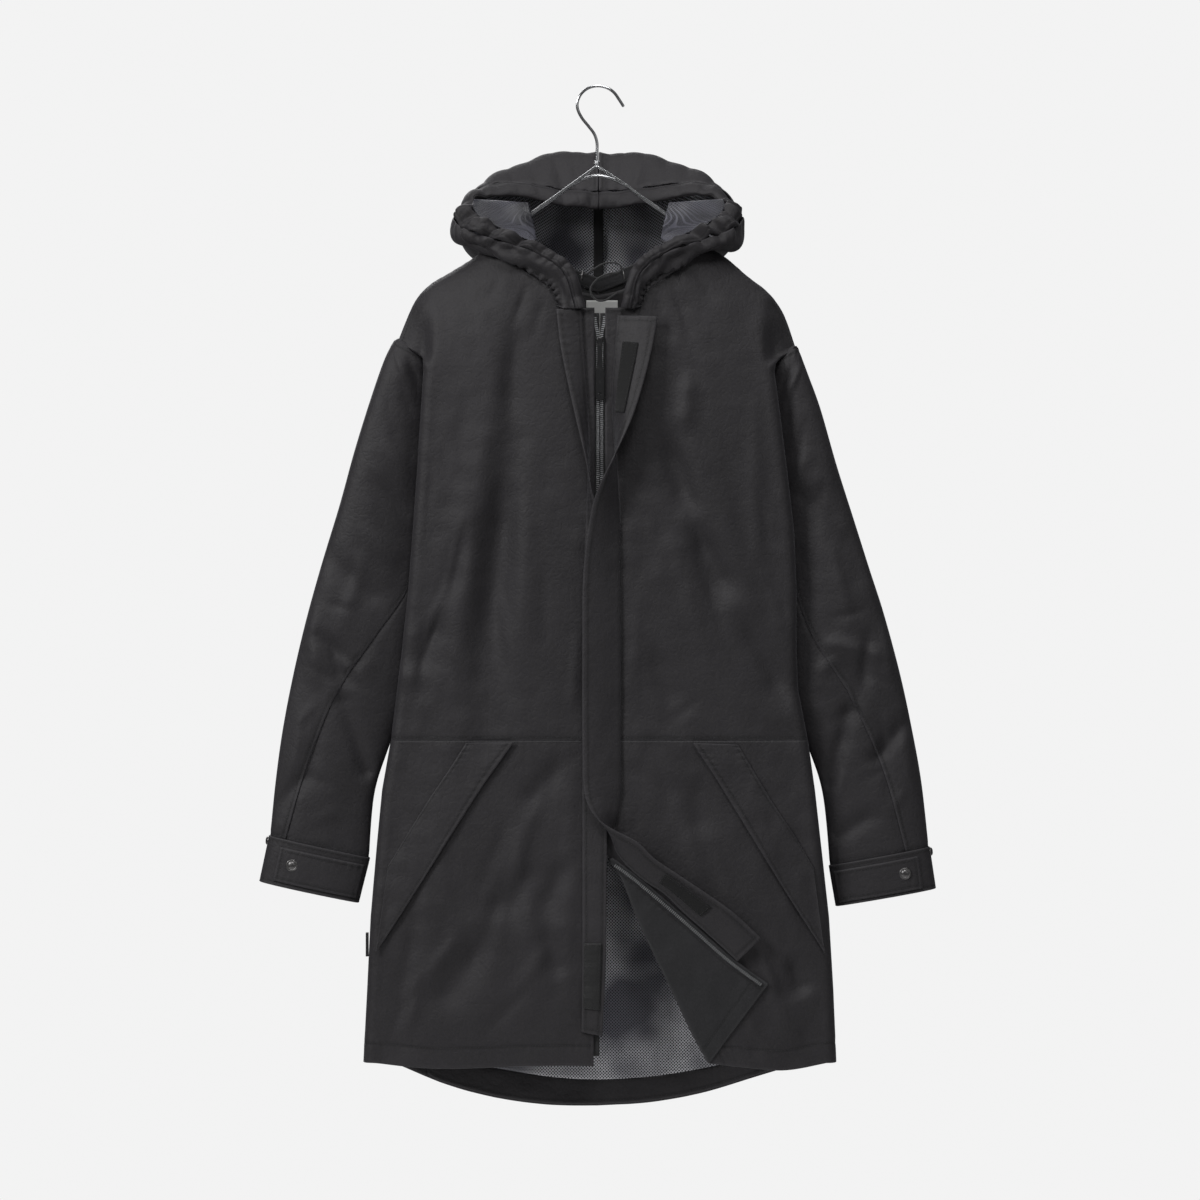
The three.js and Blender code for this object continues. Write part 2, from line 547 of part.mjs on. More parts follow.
// Flaps of the slanted pockets, sewn along their upper edge and free along the lower one.
const POCKETS = {
  left: {
    sewn: [[-151, -753], [-168, -780], [-195, -820], [-221, -862], [-240, -893]],
    free: [[-97, -752], [-132, -801], [-168, -857], [-203, -913], [-237, -966], [-254, -992]],
  },
  right: {
    sewn: [[159, -755], [194, -814], [225, -861], [245, -895]],
    free: [[108, -753], [135, -794], [178, -864], [217, -928], [243, -968], [258, -992]],
  },
};
function pocketFlaps() {
  for (const { name } of SIDES) {
    const { sewn, free } = POCKETS[name];
    const cells = patch(
      path2(sewn),
      path2(free),
      straight2(sewn[0], free[0]),
      straight2(sewn[sewn.length - 1], free[free.length - 1]),
      steps(10),
      steps(3),
    );
    const grid = cells.map((line) => line.map(([x, z], j) => new THREE.Vector3(x,
      frontY(x, z) - 2.4 - 0.9 * j, z)));
    wall("pocket_flap_" + name, grid, CLOTH, SHELL_CLOTH);
  }
}

// The storm flap: from its seam on the right front to its free edge. Its top is turned open to the
// right, it crosses over the zip in a half twist, and its foot follows the turned-back corner.
const STORM_FLAP = [
  { sx: 22, sz: -265, fx: 67, fz: -267, lift: 9 },
  { sx: 19, sz: -300, fx: 60, fz: -305, lift: 17 },
  { sx: 16, sz: -340, fx: 50, fz: -345, lift: 24 },
  { sx: 16, sz: -380, fx: 37, fz: -385, lift: 31 },
  { sx: 19, sz: -420, fx: 19, fz: -424, lift: 32 },
  { sx: 22, sz: -458, fx: 1, fz: -460, lift: 27 },
  { sx: 24, sz: -495, fx: -9, fz: -495, lift: 18 },
  { sx: 24, sz: -560, fx: -17, fz: -562, lift: 12 },
  { sx: 25, sz: -650, fx: -18, fz: -650, lift: 11 },
  { sx: 25, sz: -740, fx: -18, fz: -740, lift: 11 },
  { sx: 25, sz: -800, fx: -17, fz: -797, lift: 12 },
  { sx: 22, sz: -830, fx: -12, fz: -822, lift: 14 },
  { sx: 17, sz: -852, fx: -1, fz: -838, lift: 17 },
  { sx: 19, sz: -872, fx: 16, fz: -850, lift: 19 },
  { sx: 30, sz: -889, fx: 44, fz: -865, lift: 18 },
  { sx: 51, sz: -908, fx: 64, fz: -884, lift: 16 },
  { sx: 75, sz: -924, fx: 92, fz: -903, lift: 15 },
  { sx: 97, sz: -945, fx: 119, fz: -921, lift: 14 },
  { sx: 123, sz: -968, fx: 153, fz: -945, lift: 13 },
  { sx: 158, sz: -1000, fx: 184, fz: -974, lift: 11 },
];
const FLAP_OFF = 3.2;
const SPREAD = 4;

function flapPoint(rows, v, s) {
  const get = (key) => along(rows, v, (r) => r[key]);
  const x = lerp(get("sx"), get("fx"), s);
  const z = lerp(get("sz"), get("fz"), s);
  const turned = smooth((-840 - get("sz")) / 50);
  const seam = frontY(get("sx"), get("sz"));
  const under = lerp(seam, frontY(x, z), Math.abs(get("fx") - get("sx")) / 45 * s);
  return new THREE.Vector3(x, Math.min(under,
    seam + 3) - FLAP_OFF - turned * 7 - get("lift") * Math.sin((s * Math.PI) / 2) * (1 - 0.45 * turned), z);
}

function stormFlap() {
  const grid = steps(SPREAD).map((s) => steps(30).map((v) => flapPoint(STORM_FLAP, v, s)));
  wall("storm_flap", grid, CLOTH, SHELL_CLOTH);
}

// The under flap on the left front: turned open at the top, lying over the zip further down.
const UNDER_FLAP = [
  { sx: -19, sz: -258, fx: -48, fz: -258, lift: 4 },
  { sx: -17, sz: -300, fx: -43, fz: -300, lift: 6 },
  { sx: -14, sz: -345, fx: -34, fz: -345, lift: 9 },
  { sx: -12, sz: -385, fx: -25, fz: -385, lift: 13 },
  { sx: -11, sz: -425, fx: -15, fz: -427, lift: 17 },
  { sx: -12, sz: -460, fx: -8, fz: -462, lift: 15 },
  { sx: -14, sz: -500, fx: 1, fz: -500, lift: 8 },
  { sx: -16, sz: -560, fx: 8, fz: -560, lift: 4 },
  { sx: -17, sz: -680, fx: 10, fz: -680, lift: 3.5 },
  { sx: -18, sz: -800, fx: 10, fz: -800, lift: 3.5 },
  { sx: -18, sz: -900, fx: 9, fz: -900, lift: 3.5 },
  { sx: -18, sz: -1000, fx: 8, fz: -1000, lift: 4 },
  { sx: -19, sz: -1082, fx: 4, fz: -1086, lift: 4 },
];
function underFlapPoint(v, s) {
  const get = (key) => along(UNDER_FLAP, v, (r) => r[key]);
  const x = lerp(get("sx"), get("fx"), s);
  const z = lerp(get("sz"), get("fz"), s);
  const seam = frontY(get("sx"), z);
  return new THREE.Vector3(x, seam - 2.9 - get("lift") * Math.sin((s * Math.PI) / 2), z);
}
function underFlap() {
  const grid = steps(2).map((s) => steps(22).map((v) => underFlapPoint(v, s)));
  wall("under_flap", grid, CLOTH, SHELL_CLOTH);
}

// The lower corner of the right front, turned back so that its facing shows.
const CORNER = {
  fold: [[12, -886], [29, -912], [50, -964], [81, -1028], [107, -1082], [126, -1118]],
  zip: [[16, -884], [40, -901], [75, -930], [112, -962], [152, -997], [193, -1027]],
};
function turnedCorner() {
  const foldEdge = path2(CORNER.fold);
  const zipEdge = path2(CORNER.zip);
  const start = straight2(foldEdge(0), zipEdge(0));
  const hem = straight2(foldEdge(1), zipEdge(1));
  const cells = patch(foldEdge, zipEdge, start, hem, steps(10), steps(4));
  const grid = cells.map((line) => line.map(([x, z], j) => new THREE.Vector3(x,
    frontY(x, z) - 2.3 - 0.8 * j, z)));
  wall("front_corner_facing", grid, CLOTH, TAPE);
}

// The zip: a tape behind each front edge, the stretch of tape on the turned corner, the slider near
// the top, the one that the lower opening starts from, and the pull that hangs from the first.
const ZIP = {
  top: -262, bottom: -876, foot: -1110, tapeWide: 14, tapeThick: 1, tapeOff: 2.7, half: 0.7,
  sliderTop: -289, sliderLong: 13, sliderWide: 8, sliderDeep: 6, lowerDeep: 2.6,
};

function zipTapes() {
  const strip = (name, x0, x1, z0, z1) => {
    const grid = steps(2).map((s) =>
      steps(18).map((t) => {
        const x = lerp(x0, x1, s);
        const z = lerp(z0, z1, t);
        return new THREE.Vector3(x, frontY(x, z) + ZIP.tapeOff, z);
      }),
    );
    wall(name, grid, ZIP.tapeThick, TAPE);
  };
  strip("zip_tape_left", ZIP_X - ZIP.tapeWide, ZIP_X - ZIP.half, ZIP.top, ZIP.foot);
  strip("zip_tape_right", ZIP_X + ZIP.half, ZIP_X + ZIP.tapeWide, ZIP.top, ZIP.bottom);
}

const PULL = { neck: 2.6, wide: 4.6, long: 70, waist: 32, thick: 2, gap: 0.8 };

const box = (name, size, at, material) => {
  const mesh = new THREE.Mesh(new THREE.BoxGeometry(...size), material);
  mesh.name = name;
  mesh.position.set(...at);
  root.add(mesh);
};

function zipHardware() {
  const zMid = ZIP.sliderTop - ZIP.sliderLong / 2;
  const ySlider = frontY(ZIP_X, zMid) - 1.2;
  const zLower = ZIP.bottom + ZIP.sliderLong / 2;
  box("zip_slider", [ZIP.sliderWide, ZIP.sliderDeep, ZIP.sliderLong], [ZIP_X, ySlider, zMid], STEEL);
  box("zip_slider_lower", [ZIP.sliderWide, ZIP.lowerDeep, ZIP.sliderLong],
    [ZIP_X, frontY(ZIP_X, zLower) + 0.5, zLower], STEEL);
  const { neck, wide, long, waist } = PULL;
  const half = [[neck, 0], [neck + 0.5, -waist], [wide, -waist - 6], [wide, -long + 4], [wide * 0.6, -long]];
  const outline = [...half, ...half.map(([x, y]) => [-x, y]).reverse()].map(([x, y]) => new THREE.Vector2(x,
    y));
  const pull = new THREE.Shape(outline.reverse());
  const turns = steps(8).slice(1).map((t) => t * 2 * Math.PI);
  const eye = turns.map((a) => new THREE.Vector2(2 * Math.sin(a), 7 - long + 2 * Math.cos(a)));
  pull.holes.push(new THREE.Path(eye));
  const geometry = new THREE.ExtrudeGeometry(pull, { depth: PULL.thick, bevelEnabled: false });
  geometry.rotateX(Math.PI / 2);
  const mesh = new THREE.Mesh(geometry, STEEL);
  mesh.name = "zip_pull";
  mesh.position.set(ZIP_X, ySlider - ZIP.sliderDeep / 2 - PULL.gap, ZIP.sliderTop - 3);
  root.add(mesh);
}

// The hood: a bag that opens forward and up, its edge gathered round a drawcord.
const PROFILE = ["neck", "low", "side", "crest", "rim"];
const HOOD_SHIFT = 11;
const LINING_IN = 10;
const HOOD_CORE = { share: 0.45, y: 50, z: -165 };

// A point of the hood at a place round it (0 front, 1 back) and along its profile (0 neck, 1 rim).
function hoodPoint(sign, round, v) {
  const at = (key, k) => along(HOOD, round, (row) => row[key][k]);
  const value = (k) => along(PROFILE, v, (key) => at(key, k));
  const shift = sign > 0 ? HOOD_SHIFT * v * (1 - smooth(round * 2)) : 0;
  return new THREE.Vector3(-sign * value(0) + shift, value(1), value(2));
}
function towardsCore(p, off) {
  const core = new THREE.Vector3(HOOD_CORE.share * p.x, HOOD_CORE.y, HOOD_CORE.z);
  return p.clone().add(core.sub(p).normalize().multiplyScalar(off));
}
// The place on the profile that lies a distance in from the edge of the opening.
function fromEdge(sign, round, distance) {
  const edge = hoodPoint(sign, round, 1);
  let v = 1;
  while (v > 0.02 && hoodPoint(sign, round, v).distanceTo(edge) < distance) v -= 0.004;
  return v;
}

function hood() {
  for (const { name, sign } of SIDES) {
    const shell = steps(15).map((round) => {
      const end = fromEdge(sign, round, 2 * RIM_HALF_WIDTH + 1.2);
      return steps(8).map((t) => hoodPoint(sign, round, t * end));
    });
    wall("hood_shell_" + name, shell, CLOTH, SHELL_CLOTH);
    const rim = steps(7).slice(0, -1).map((turn) =>
      steps(20).map((round) => {
        const edge = hoodPoint(sign, round, 1);
        const inward = edge.clone().sub(hoodPoint(sign, round,
          fromEdge(sign, round, 2 * RIM_HALF_WIDTH))).normalize();
        const middle = edge.addScaledVector(inward, -RIM_HALF_WIDTH);
        const next = hoodPoint(sign, Math.min(1, round + 0.01),
          1).sub(hoodPoint(sign, Math.max(0, round - 0.01), 1)).normalize();
        const over = inward.clone().cross(next).normalize();
        const wide = inward.multiplyScalar(RIM_HALF_WIDTH * Math.cos(turn * 2 * Math.PI));
        return middle.add(wide).addScaledVector(over, RIM_HALF_THICK * Math.sin(turn * 2 * Math.PI));
      }),
    );
    bar("hood_rim_" + name, rim, SHELL_CLOTH);
    const lining = steps(8).map((t) =>
      steps(6).map((v) => towardsCore(hoodPoint(sign, lerp(0.66, 1, t), lerp(0.16, 0.76, v)), LINING_IN)),
    );
    wall("hood_lining_" + name, lining, LINING, MESH_LINING);
    const lapel = steps(3).map((s) => steps(3).map((t) => lapelPoint(sign, s, t)));
    wall("hood_lapel_" + name, lapel, LINING, MESH_LINING);
  }
  const tape = steps(2).map((s) =>
    steps(8).map((t) => {
      const p = towardsCore(hoodPoint(-1, 1, lerp(0.16, 0.74, t)), LINING_IN + 6.8);
      return new THREE.Vector3(lerp(-5.5, 5.5, s), p.y, p.z);
    }),
  );
  wall("hood_seam_tape", tape, 1, TAPE);
}

// The sides of the hood turn in over the wire, so that their lining faces forward there.
const LAPEL_ROUND = { top: 0.62, foot: 0.3 };
const LAPEL_SEAM = 1.2;
const LAPEL = [
  { fx: -81, fy: -5, fz: -133 },
  { fx: -77, fy: -8, fz: -148 },
  { fx: -74, fy: -11, fz: -162 },
  { fx: -72, fy: -18, fz: -175 },
];
function lapelPoint(sign, s, t) {
  const get = (key) => along(LAPEL, t, (r) => r[key]);
  const edge = hoodPoint(sign, lerp(LAPEL_ROUND.top, LAPEL_ROUND.foot, t), 1);
  const fold = new THREE.Vector3(-sign * get("fx"), get("fy"), get("fz"));
  return edge.lerp(fold, lerp(LAPEL_SEAM / edge.distanceTo(fold), 1, s));
}

// A solid bar: rings of points, closed across both ends.
function bar(name, grid, material) {
  const nu = grid.length;
  const nv = grid[0].length;
  const positions = grid.flatMap((line) => line.flatMap((p) => [p.x, p.y, p.z]));
  const at = (i, j) => (i % nu) * nv + j;
  const faces = [];
  for (let i = 0; i < nu; i++)
    for (let j = 0; j < nv - 1; j++) faces.push(at(i, j), at(i + 1, j), at(i + 1, j + 1), at(i, j),
      at(i + 1, j + 1), at(i, j + 1));
  for (let i = 1; i < nu - 1; i++) {
    faces.push(at(0, 0), at(i + 1, 0), at(i, 0));
    faces.push(at(0, nv - 1), at(i, nv - 1), at(i + 1, nv - 1));
  }
  addSolid(name, positions, faces, material);
}

// Inside the neck: the band over the back neck seam and the plain label under it.
function neckInside() {
  const band = [-1, -0.84, -0.68, -0.52, -0.36, -0.18, 0, 0.18, 0.36, 0.52, 0.68, 0.84, 1].map((u) => {
    const p = hoodPoint(u < 0 ? -1 : 1, 1 - 0.3 * Math.abs(u), 0);
    return [0, 0.5, 1].map((t) => new THREE.Vector3(u ? p.x : 0, p.y - 3.2 - 1.5 * t, p.z + 1 + 16 * t));
  });
  wall("neck_facing", band, CLOTH, TAPE);
  const label = steps(3).map((s) =>
    steps(3).map((t) => {
      const x = lerp(-14, 22, s);
      const z = lerp(-243, -288, t);
      return new THREE.Vector3(x, backY(x, z) - 2.2, z);
    }),
  );
  wall("neck_label", label, 0.9, LABEL_CLOTH);
}

// A round bar along a smooth path.
function rod(name, points, radius, sides, count, material) {
  const curve = new THREE.CatmullRomCurve3(points.map((p) => new THREE.Vector3(...p)), false, "centripetal");
  const section = new THREE.Shape(steps(sides).slice(1).map((t) => new THREE.Vector2(radius * Math.cos(t * 2 * Math.PI), radius * Math.sin(t * 2 * Math.PI))));
  const geometry = new THREE.ExtrudeGeometry(section,
    { steps: count, extrudePath: curve, bevelEnabled: false });
  const mesh = new THREE.Mesh(geometry, material);
  mesh.name = name;
  root.add(mesh);
}

// The drawcord: out of the left eyelet, over in an arch, back across and round into the right edge.
const CORD_DIAMETER = 2.2;
const CORD_PATH = [
  [-21.2, -46.9, -219], [-15.5, -48.5, -219], [-6, -52, -213.5], [4, -54, -207.5], [14, -54.5, -205.5], [23,
    -54.5, -207.5],
  [26.6, -54.5, -212.5], [22, -54.5, -217], [13, -54.5, -218], [4, -54.5, -221], [-4, -54.5, -227], [-9,
    -54, -235],
  [-7.5, -53.5, -243], [-1, -53, -248.5], [7, -52, -248.5], [14, -49.5, -244.5], [20.5, -45.5, -240],
];
const EYELET = { outer: 6, hole: 2.4, thick: 2.4, round: 0.094, tilt: 0.2 };

function drawcord() {
  rod("drawcord", CORD_PATH, CORD_DIAMETER / 2, 8, 40, CORD);
  for (const { name, sign } of SIDES) {
    const { outer, hole, thick, round, tilt } = EYELET;
    const edge = hoodPoint(sign, round, 1);
    const profile = [[hole, -thick / 2], [outer, -thick / 2], [outer, thick / 2], [hole, thick / 2],
      [hole, -thick / 2]];
    const geometry = new THREE.LatheGeometry(profile.map(([r, y]) => new THREE.Vector2(r, y)), 12);
    const mesh = new THREE.Mesh(geometry, STEEL);
    mesh.name = "eyelet_" + name;
    mesh.rotation.set(0, -sign * tilt, Math.PI / 2);
    mesh.position.set(edge.x - sign * (thick / 2 + 3.8), edge.y, edge.z);
    root.add(mesh);
  }
}

// The hanger: a hook on a short stem, and one wire that runs out along each arm and back behind it.
const HOOK_PATH = [
  [-1.7, 0, -84.5], [-1.7, 0, -74], [-1.9, 0, -63], [-5, 0, -53.5], [-11.6, 0, -44.5], [-19.5, 0,
    -34.5], [-24.2, 0, -24],
  [-24, 0, -15.5], [-19.4, 0, -6.6], [-11, 0, -0.3], [0, 0, 1.8], [10.3, 0, -0.6], [17.9, 0, -6], [23.7, 0,
    -14], [28.5, 0, -21.5],
];
const ARM_SLOPE = 0.72;
const APEX = { x: -1.7, z: -90.6 };
const UNDER_CLOTH = 3.9;
const SECOND_WIRE = { y: 3.9, drop: 1.5, yInside: 0.6, dropInside: 5.4, arch: -101 };
const ARM_OUT = [25, 52, 80, 100, 113, 131, 148, 171, 190];

function armZ(sign, out) {
  const cloth = shoulderZ(sign * out) - UNDER_CLOTH;
  return out > 105 ? cloth : Math.min(APEX.z - ARM_SLOPE * (out - 1.7), out > 85 ? cloth : 0);
}
function hanger() {
  rod("hanger_hook", HOOK_PATH, WIRE / 2, 8, 28, STEEL);
  const knot = new THREE.Mesh(new THREE.CylinderGeometry(3.3, 3.3, 3.3, 12), STEEL);
  knot.name = "hanger_knot";
  knot.rotation.x = Math.PI / 2;
  knot.position.set(APEX.x, 0, APEX.z + WIRE / 2 + 0.35 + 1.65);
  root.add(knot);
  const out = (sign) => ARM_OUT.map((o) => [sign * o, 0, armZ(sign, o)]);
  const inside = (o) => smooth((o - 90) / 20);
  const home = (sign) =>
    ARM_OUT.map((o) => {
      const drop = lerp(SECOND_WIRE.drop, SECOND_WIRE.dropInside, inside(o));
      return [sign * o, lerp(SECOND_WIRE.y, SECOND_WIRE.yInside, inside(o)), armZ(sign, o) - drop];
    }).reverse();
  const turn = (sign) => [[sign * 195.5, SECOND_WIRE.yInside / 2,
    armZ(sign, 195.5) - SECOND_WIRE.dropInside / 2]];
  const gap = 0.4;
  const loop = [
    [APEX.x - gap, 0, APEX.z], ...out(-1), ...turn(-1), ...home(-1), [APEX.x, SECOND_WIRE.y,
      SECOND_WIRE.arch],
    ...home(1).reverse(), ...turn(1), ...out(1).reverse(), [APEX.x + gap, 0, APEX.z],
  ];
  rod("hanger_arms", loop, WIRE / 2, 6, 72, STEEL);
}

// Small pieces on the flaps: the fastening tapes, and the plain tab at the left side seam.
function onFlap(point, s, v, off) {
  const d = 0.02;
  const across = point(s + d, v).sub(point(s - d, v));
  const down = point(s, v + d).sub(point(s, v - d));
  const normal = across.cross(down).normalize();
  return point(s, v).addScaledVector(normal, normal.y > 0 ? -off : off);
}
const TAPE_OFF = 2.3;
const FASTENING_TAPES = [
  { name: "fastening_tape_top", point: (s, v) => flapPoint(STORM_FLAP, v, s), s0: 0.22, s1: 0.62, v0: 0.045,
    v1: 0.15, n: 6 },
  { name: "fastening_tape_foot", point: (s, v) => flapPoint(STORM_FLAP, v, s), s0: 0.3, s1: 0.74, v0: 0.82,
    v1: 0.92, n: 5 },
  { name: "fastening_tape_under", point: (s, v) => underFlapPoint(v, s), s0: 0.08, s1: 0.8, v0: 0.9,
    v1: 0.965, n: 4 },
];
function fastenings() {
  for (const { name, point, s0, s1, v0, v1, n } of FASTENING_TAPES) {
    const grid = steps(3).map((s) => steps(n).map((t) => onFlap(point, lerp(s0, s1, s), lerp(v0, v1, t),
      TAPE_OFF)));
    wall(name, grid, 1.2, TAPE);
  }
  box("side_tab", [3, 9, 27], [-264.9, -22, -984], LABEL_CLOTH);
}

fronts();
back();
backInside();
sleeves();
cuffs();
pocketFlaps();
stormFlap();
underFlap();
turnedCorner();
zipTapes();
zipHardware();
hood();
neckInside();
drawcord();
hanger();
fastenings();

export default root;
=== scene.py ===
"""A black hooded parka on a wire hanger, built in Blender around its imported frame.

The origin is the underside of the hook's crown, +Z is up and the front faces -Y. "left" and "right"
are the viewer's. Every size in this file is in millimetres and is turned into metres when a mesh is
made. Each cloth piece starts as a grid of points on its middle surface. Folds, gathers and seams
move the grid, and a wall of even thickness with a rounded edge is then built on both of its sides.
"""
import math

import bmesh
import bpy
import numpy as np
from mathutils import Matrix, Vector

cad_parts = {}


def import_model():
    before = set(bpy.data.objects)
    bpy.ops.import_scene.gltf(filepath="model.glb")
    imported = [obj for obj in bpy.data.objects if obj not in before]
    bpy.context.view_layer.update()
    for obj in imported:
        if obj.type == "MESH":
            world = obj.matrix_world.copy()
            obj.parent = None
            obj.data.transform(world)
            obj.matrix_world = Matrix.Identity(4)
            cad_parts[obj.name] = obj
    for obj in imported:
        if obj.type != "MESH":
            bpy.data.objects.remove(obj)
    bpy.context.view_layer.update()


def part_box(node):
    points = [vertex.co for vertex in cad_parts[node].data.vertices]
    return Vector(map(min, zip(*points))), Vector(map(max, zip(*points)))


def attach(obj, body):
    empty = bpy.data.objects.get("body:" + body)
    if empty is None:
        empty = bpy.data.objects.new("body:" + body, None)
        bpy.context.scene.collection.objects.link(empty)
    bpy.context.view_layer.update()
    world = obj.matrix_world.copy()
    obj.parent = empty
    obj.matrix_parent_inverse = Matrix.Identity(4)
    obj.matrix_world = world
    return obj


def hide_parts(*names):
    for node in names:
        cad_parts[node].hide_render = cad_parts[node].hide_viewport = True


MM = 0.001
CLOTH = 1.6
LINING = 0.9
BAND = 2.2
SEAM_GAP = 0.35
SEAM_Y = 0.75
WAIST_Z = -750
ARMPIT_Z = -512
ARMHOLE_HALF = 9.4
LIP_RADIUS = 11
SHOULDER_ROUND = 130
WIRE = 3.4
ZIP_X = 1.5
SLEEVE_Y = 3
SLEEVE_SQUARE = 2.5
CUFF_INNER_SHARE = 0.72
INNER_SHARES = ((0.0, 0.1, 0.42, 0.6), (0.72, 0.42, 0.42, 0.72))
BESIDE_BODY = 2.6
SIDES = (("left", -1), ("right", 1))


def table(names, rows):
    """Rows of numbers as one array for each named column."""
    values = np.array(rows, float)
    return {name: values[:, k] for k, name in enumerate(names.split())}


# Tables of the shape, as in the part's source. Only the hood's crest stands a little higher here,
# and the hood's front ends reach a little lower.
BODY = table("z left right front back", [
    (-240, -206, 203, 34, 40), (-262, -221, 214, 36, 41), (-289, -235, 229, 37, 42),
    (-297, -223, 229, 38, 43), (-304, -211, 221, 38, 43), (-311, -201, 209, 38, 44),
    (-319, -200, 202, 39, 44), (-330, -200, 201, 39, 44), (-375, -203, 207, 40, 45),
    (-440, -207, 215, 41, 46), (-510, -212, 223, 41, 46), (-576, -217, 226, 41, 46),
    (-644, -224, 226, 40, 45), (-693, -230, 228, 39, 44), (-750, -237, 239, 38, 44),
    (-807, -247, 247, 40, 45), (-870, -253, 254, 41, 46), (-952, -260, 263, 42, 47),
    (-1035, -264, 268, 42, 47), (-1130, -269, 272, 40, 45),
])

SHOULDER = table("out left right", [
    (0, -100, -100), (60, -135, -135), (113, -172, -173), (148, -200, -198), (171, -214, -218),
    (194, -228, -236), (206, -240, -248), (221, -262, -275), (236, -289, -305),
])

FRONT_FOLDS = table("x0 z0 x1 z1 wide deep", [
    (-94, -262, -102, -400, 12, -5), (-104, -420, -136, -700, 21, -10),
    (-80, -400, -94, -700, 15, 4), (-151, -494, -174, -598, 10, -5),
    (-174, -598, -216, -680, 11, -7), (71, -391, 105, -498, 14, -7), (105, -498, 155, -598, 16, -9),
    (155, -598, 222, -722, 16, -9), (105, -320, 97, -406, 10, 4), (56, -636, 94, -728, 14, -5),
    (-34, -764, -90, -836, 13, -5), (-66, -887, -123, -960, 16, -8),
    (-123, -960, -194, -1072, 17, -8), (-30, -876, -70, -960, 14, -6),
    (-62, -960, -40, -1026, 13, -5), (217, -992, 236, -1047, 12, -7),
    (113, -784, 116, -866, 16, -5),
])

BACK_FOLDS = table("x0 z0 x1 z1 wide deep", [
    (-110, -330, -128, -700, 24, -8), (96, -340, 132, -690, 22, -9), (-10, -420, 18, -760, 26, 5),
    (-60, -780, -90, -1120, 24, -7), (70, -800, 84, -1130, 22, -7), (190, -820, 206, -1090, 18, -6),
])

SLEEVES = {
    "left": table("ox oz ix iz deep split", [
        (-235, -292, -190, -317, 12, 0.05), (-246, -314, -190, -336, 18, 0.04),
        (-262, -360, -190, -388, 20, 0.035), (-280, -418, -190, -449, 21, 0.03),
        (-297, -480, -190, -498, 21, 0.03), (-318, -549, -190, -572, 21, 0.07),
        (-336, -614, -190, -641, 21, 0.34), (-351, -678, -222, -708, 20, 0.57),
        (-363, -741, -244, -764, 20, 0.66), (-371, -800, -259, -814, 19, 0.74),
        (-377, -860, -265, -885, 18, 0.84),
    ]),
    "right": table("ox oz ix iz deep split", [
        (229, -300, 190, -322, 10.6, 0.05), (241, -332, 190, -350, 18, 0.04),
        (255, -371, 190, -396, 20, 0.035), (273, -434, 190, -454, 21, 0.03),
        (292, -494, 190, -507, 21, 0.03), (311, -554, 190, -570, 21, 0.07),
        (328, -607, 190, -630, 21, 0.22), (347, -678, 216, -699, 20, 0.48),
        (361, -744, 243, -762, 20, 0.59), (371, -801, 259, -814, 19, 0.66),
        (379, -873, 267, -894, 18, 0.76),
    ]),
}

CUFFS = {
    "left": {"ox": -388, "oz": -913, "ix": -278, "iz": -937},
    "right": {"ox": 386, "oz": -921, "ix": 275, "iz": -941},
}

SLEEVE_FOLDS = table("x0 z0 x1 z1 wide deep", [
    (-292, -706, -266, -786, 9, -7), (-322, -632, -278, -660, 9, -5),
    (-374, -834, -344, -795, 9, -5), (-330, -520, -262, -585, 13, -5),
    (289, -717, 264, -800, 9, -7), (270, -640, 318, -652, 9, 5), (318, -771, 352, -732, 10, -7),
    (276, -860, 308, -840, 9, -5), (240, -470, 300, -560, 13, -4),
])

HOOD = np.array([
    ((-47, -38, -253), (-40, -42, -256), (-32, -45, -257), (-24, -45, -257), (-15, -43, -256)),
    ((-55, -37, -232.6), (-51, -43, -228), (-44, -48, -223), (-37, -50, -217), (-29, -48, -212)),
    ((-79, -36, -214), (-78, -39, -212), (-73, -46, -204), (-66, -48, -197), (-58, -45, -189)),
    ((-100, -29, -196), (-112, -32, -198), (-117, -39, -190), (-110, -42, -180), (-99, -38, -171)),
    ((-111, -8, -166), (-138, -15, -186), (-156, -20, -181), (-158, -21, -163), (-139, -19, -149)),
    ((-110, 7, -166), (-138, 26, -184), (-160, 38, -170), (-160, 34, -136), (-143, 13, -127)),
    ((-88, 27, -185), (-108, 70, -222), (-135, 88, -178), (-121, 66, -95), (-105, 28, -121)),
    ((-44, 35, -216), (-62, 96, -255), (-76, 118, -190), (-64, 88, -72), (-46, 37, -131)),
    ((-0.8, 35, -234), (-0.8, 104, -272), (-0.8, 128, -195), (-0.8, 88, -66), (-0.8, 40, -136)),
], float)

FRONT_TOP = {
    "left": [
        (-5, -256), (-26, -256), (-46, -251), (-51, -238), (-67, -226), (-90, -210), (-106, -195),
        (-113, -172.5), (-131, -187), (-148, -200), (-171, -214), (-194, -228), (-212, -249),
        (-233, -289),
    ],
    "right": [
        (8, -256), (26, -256), (48, -251), (53, -238), (69, -226), (92, -210), (107, -195),
        (113, -173.5), (131, -187), (148, -198), (171, -218), (194, -236), (212, -260), (227, -290),
    ],
}

FRONT_HEM = {
    "left": [
        (-6, -1121), (-76, -1121), (-182, -1124), (-256, -1120),
    ],
    "right": [
        (125, -1118), (162, -1122), (213, -1126), (259, -1122),
    ],
}

CENTRE_LOWER = {
    "left": [
        (-6, -750.35), (-6, -1121),
    ],
    "right": [
        (8, -750.35), (9, -830), (10, -878), (26, -907), (48, -962), (79, -1026), (105, -1081),
        (125, -1118),
    ],
}

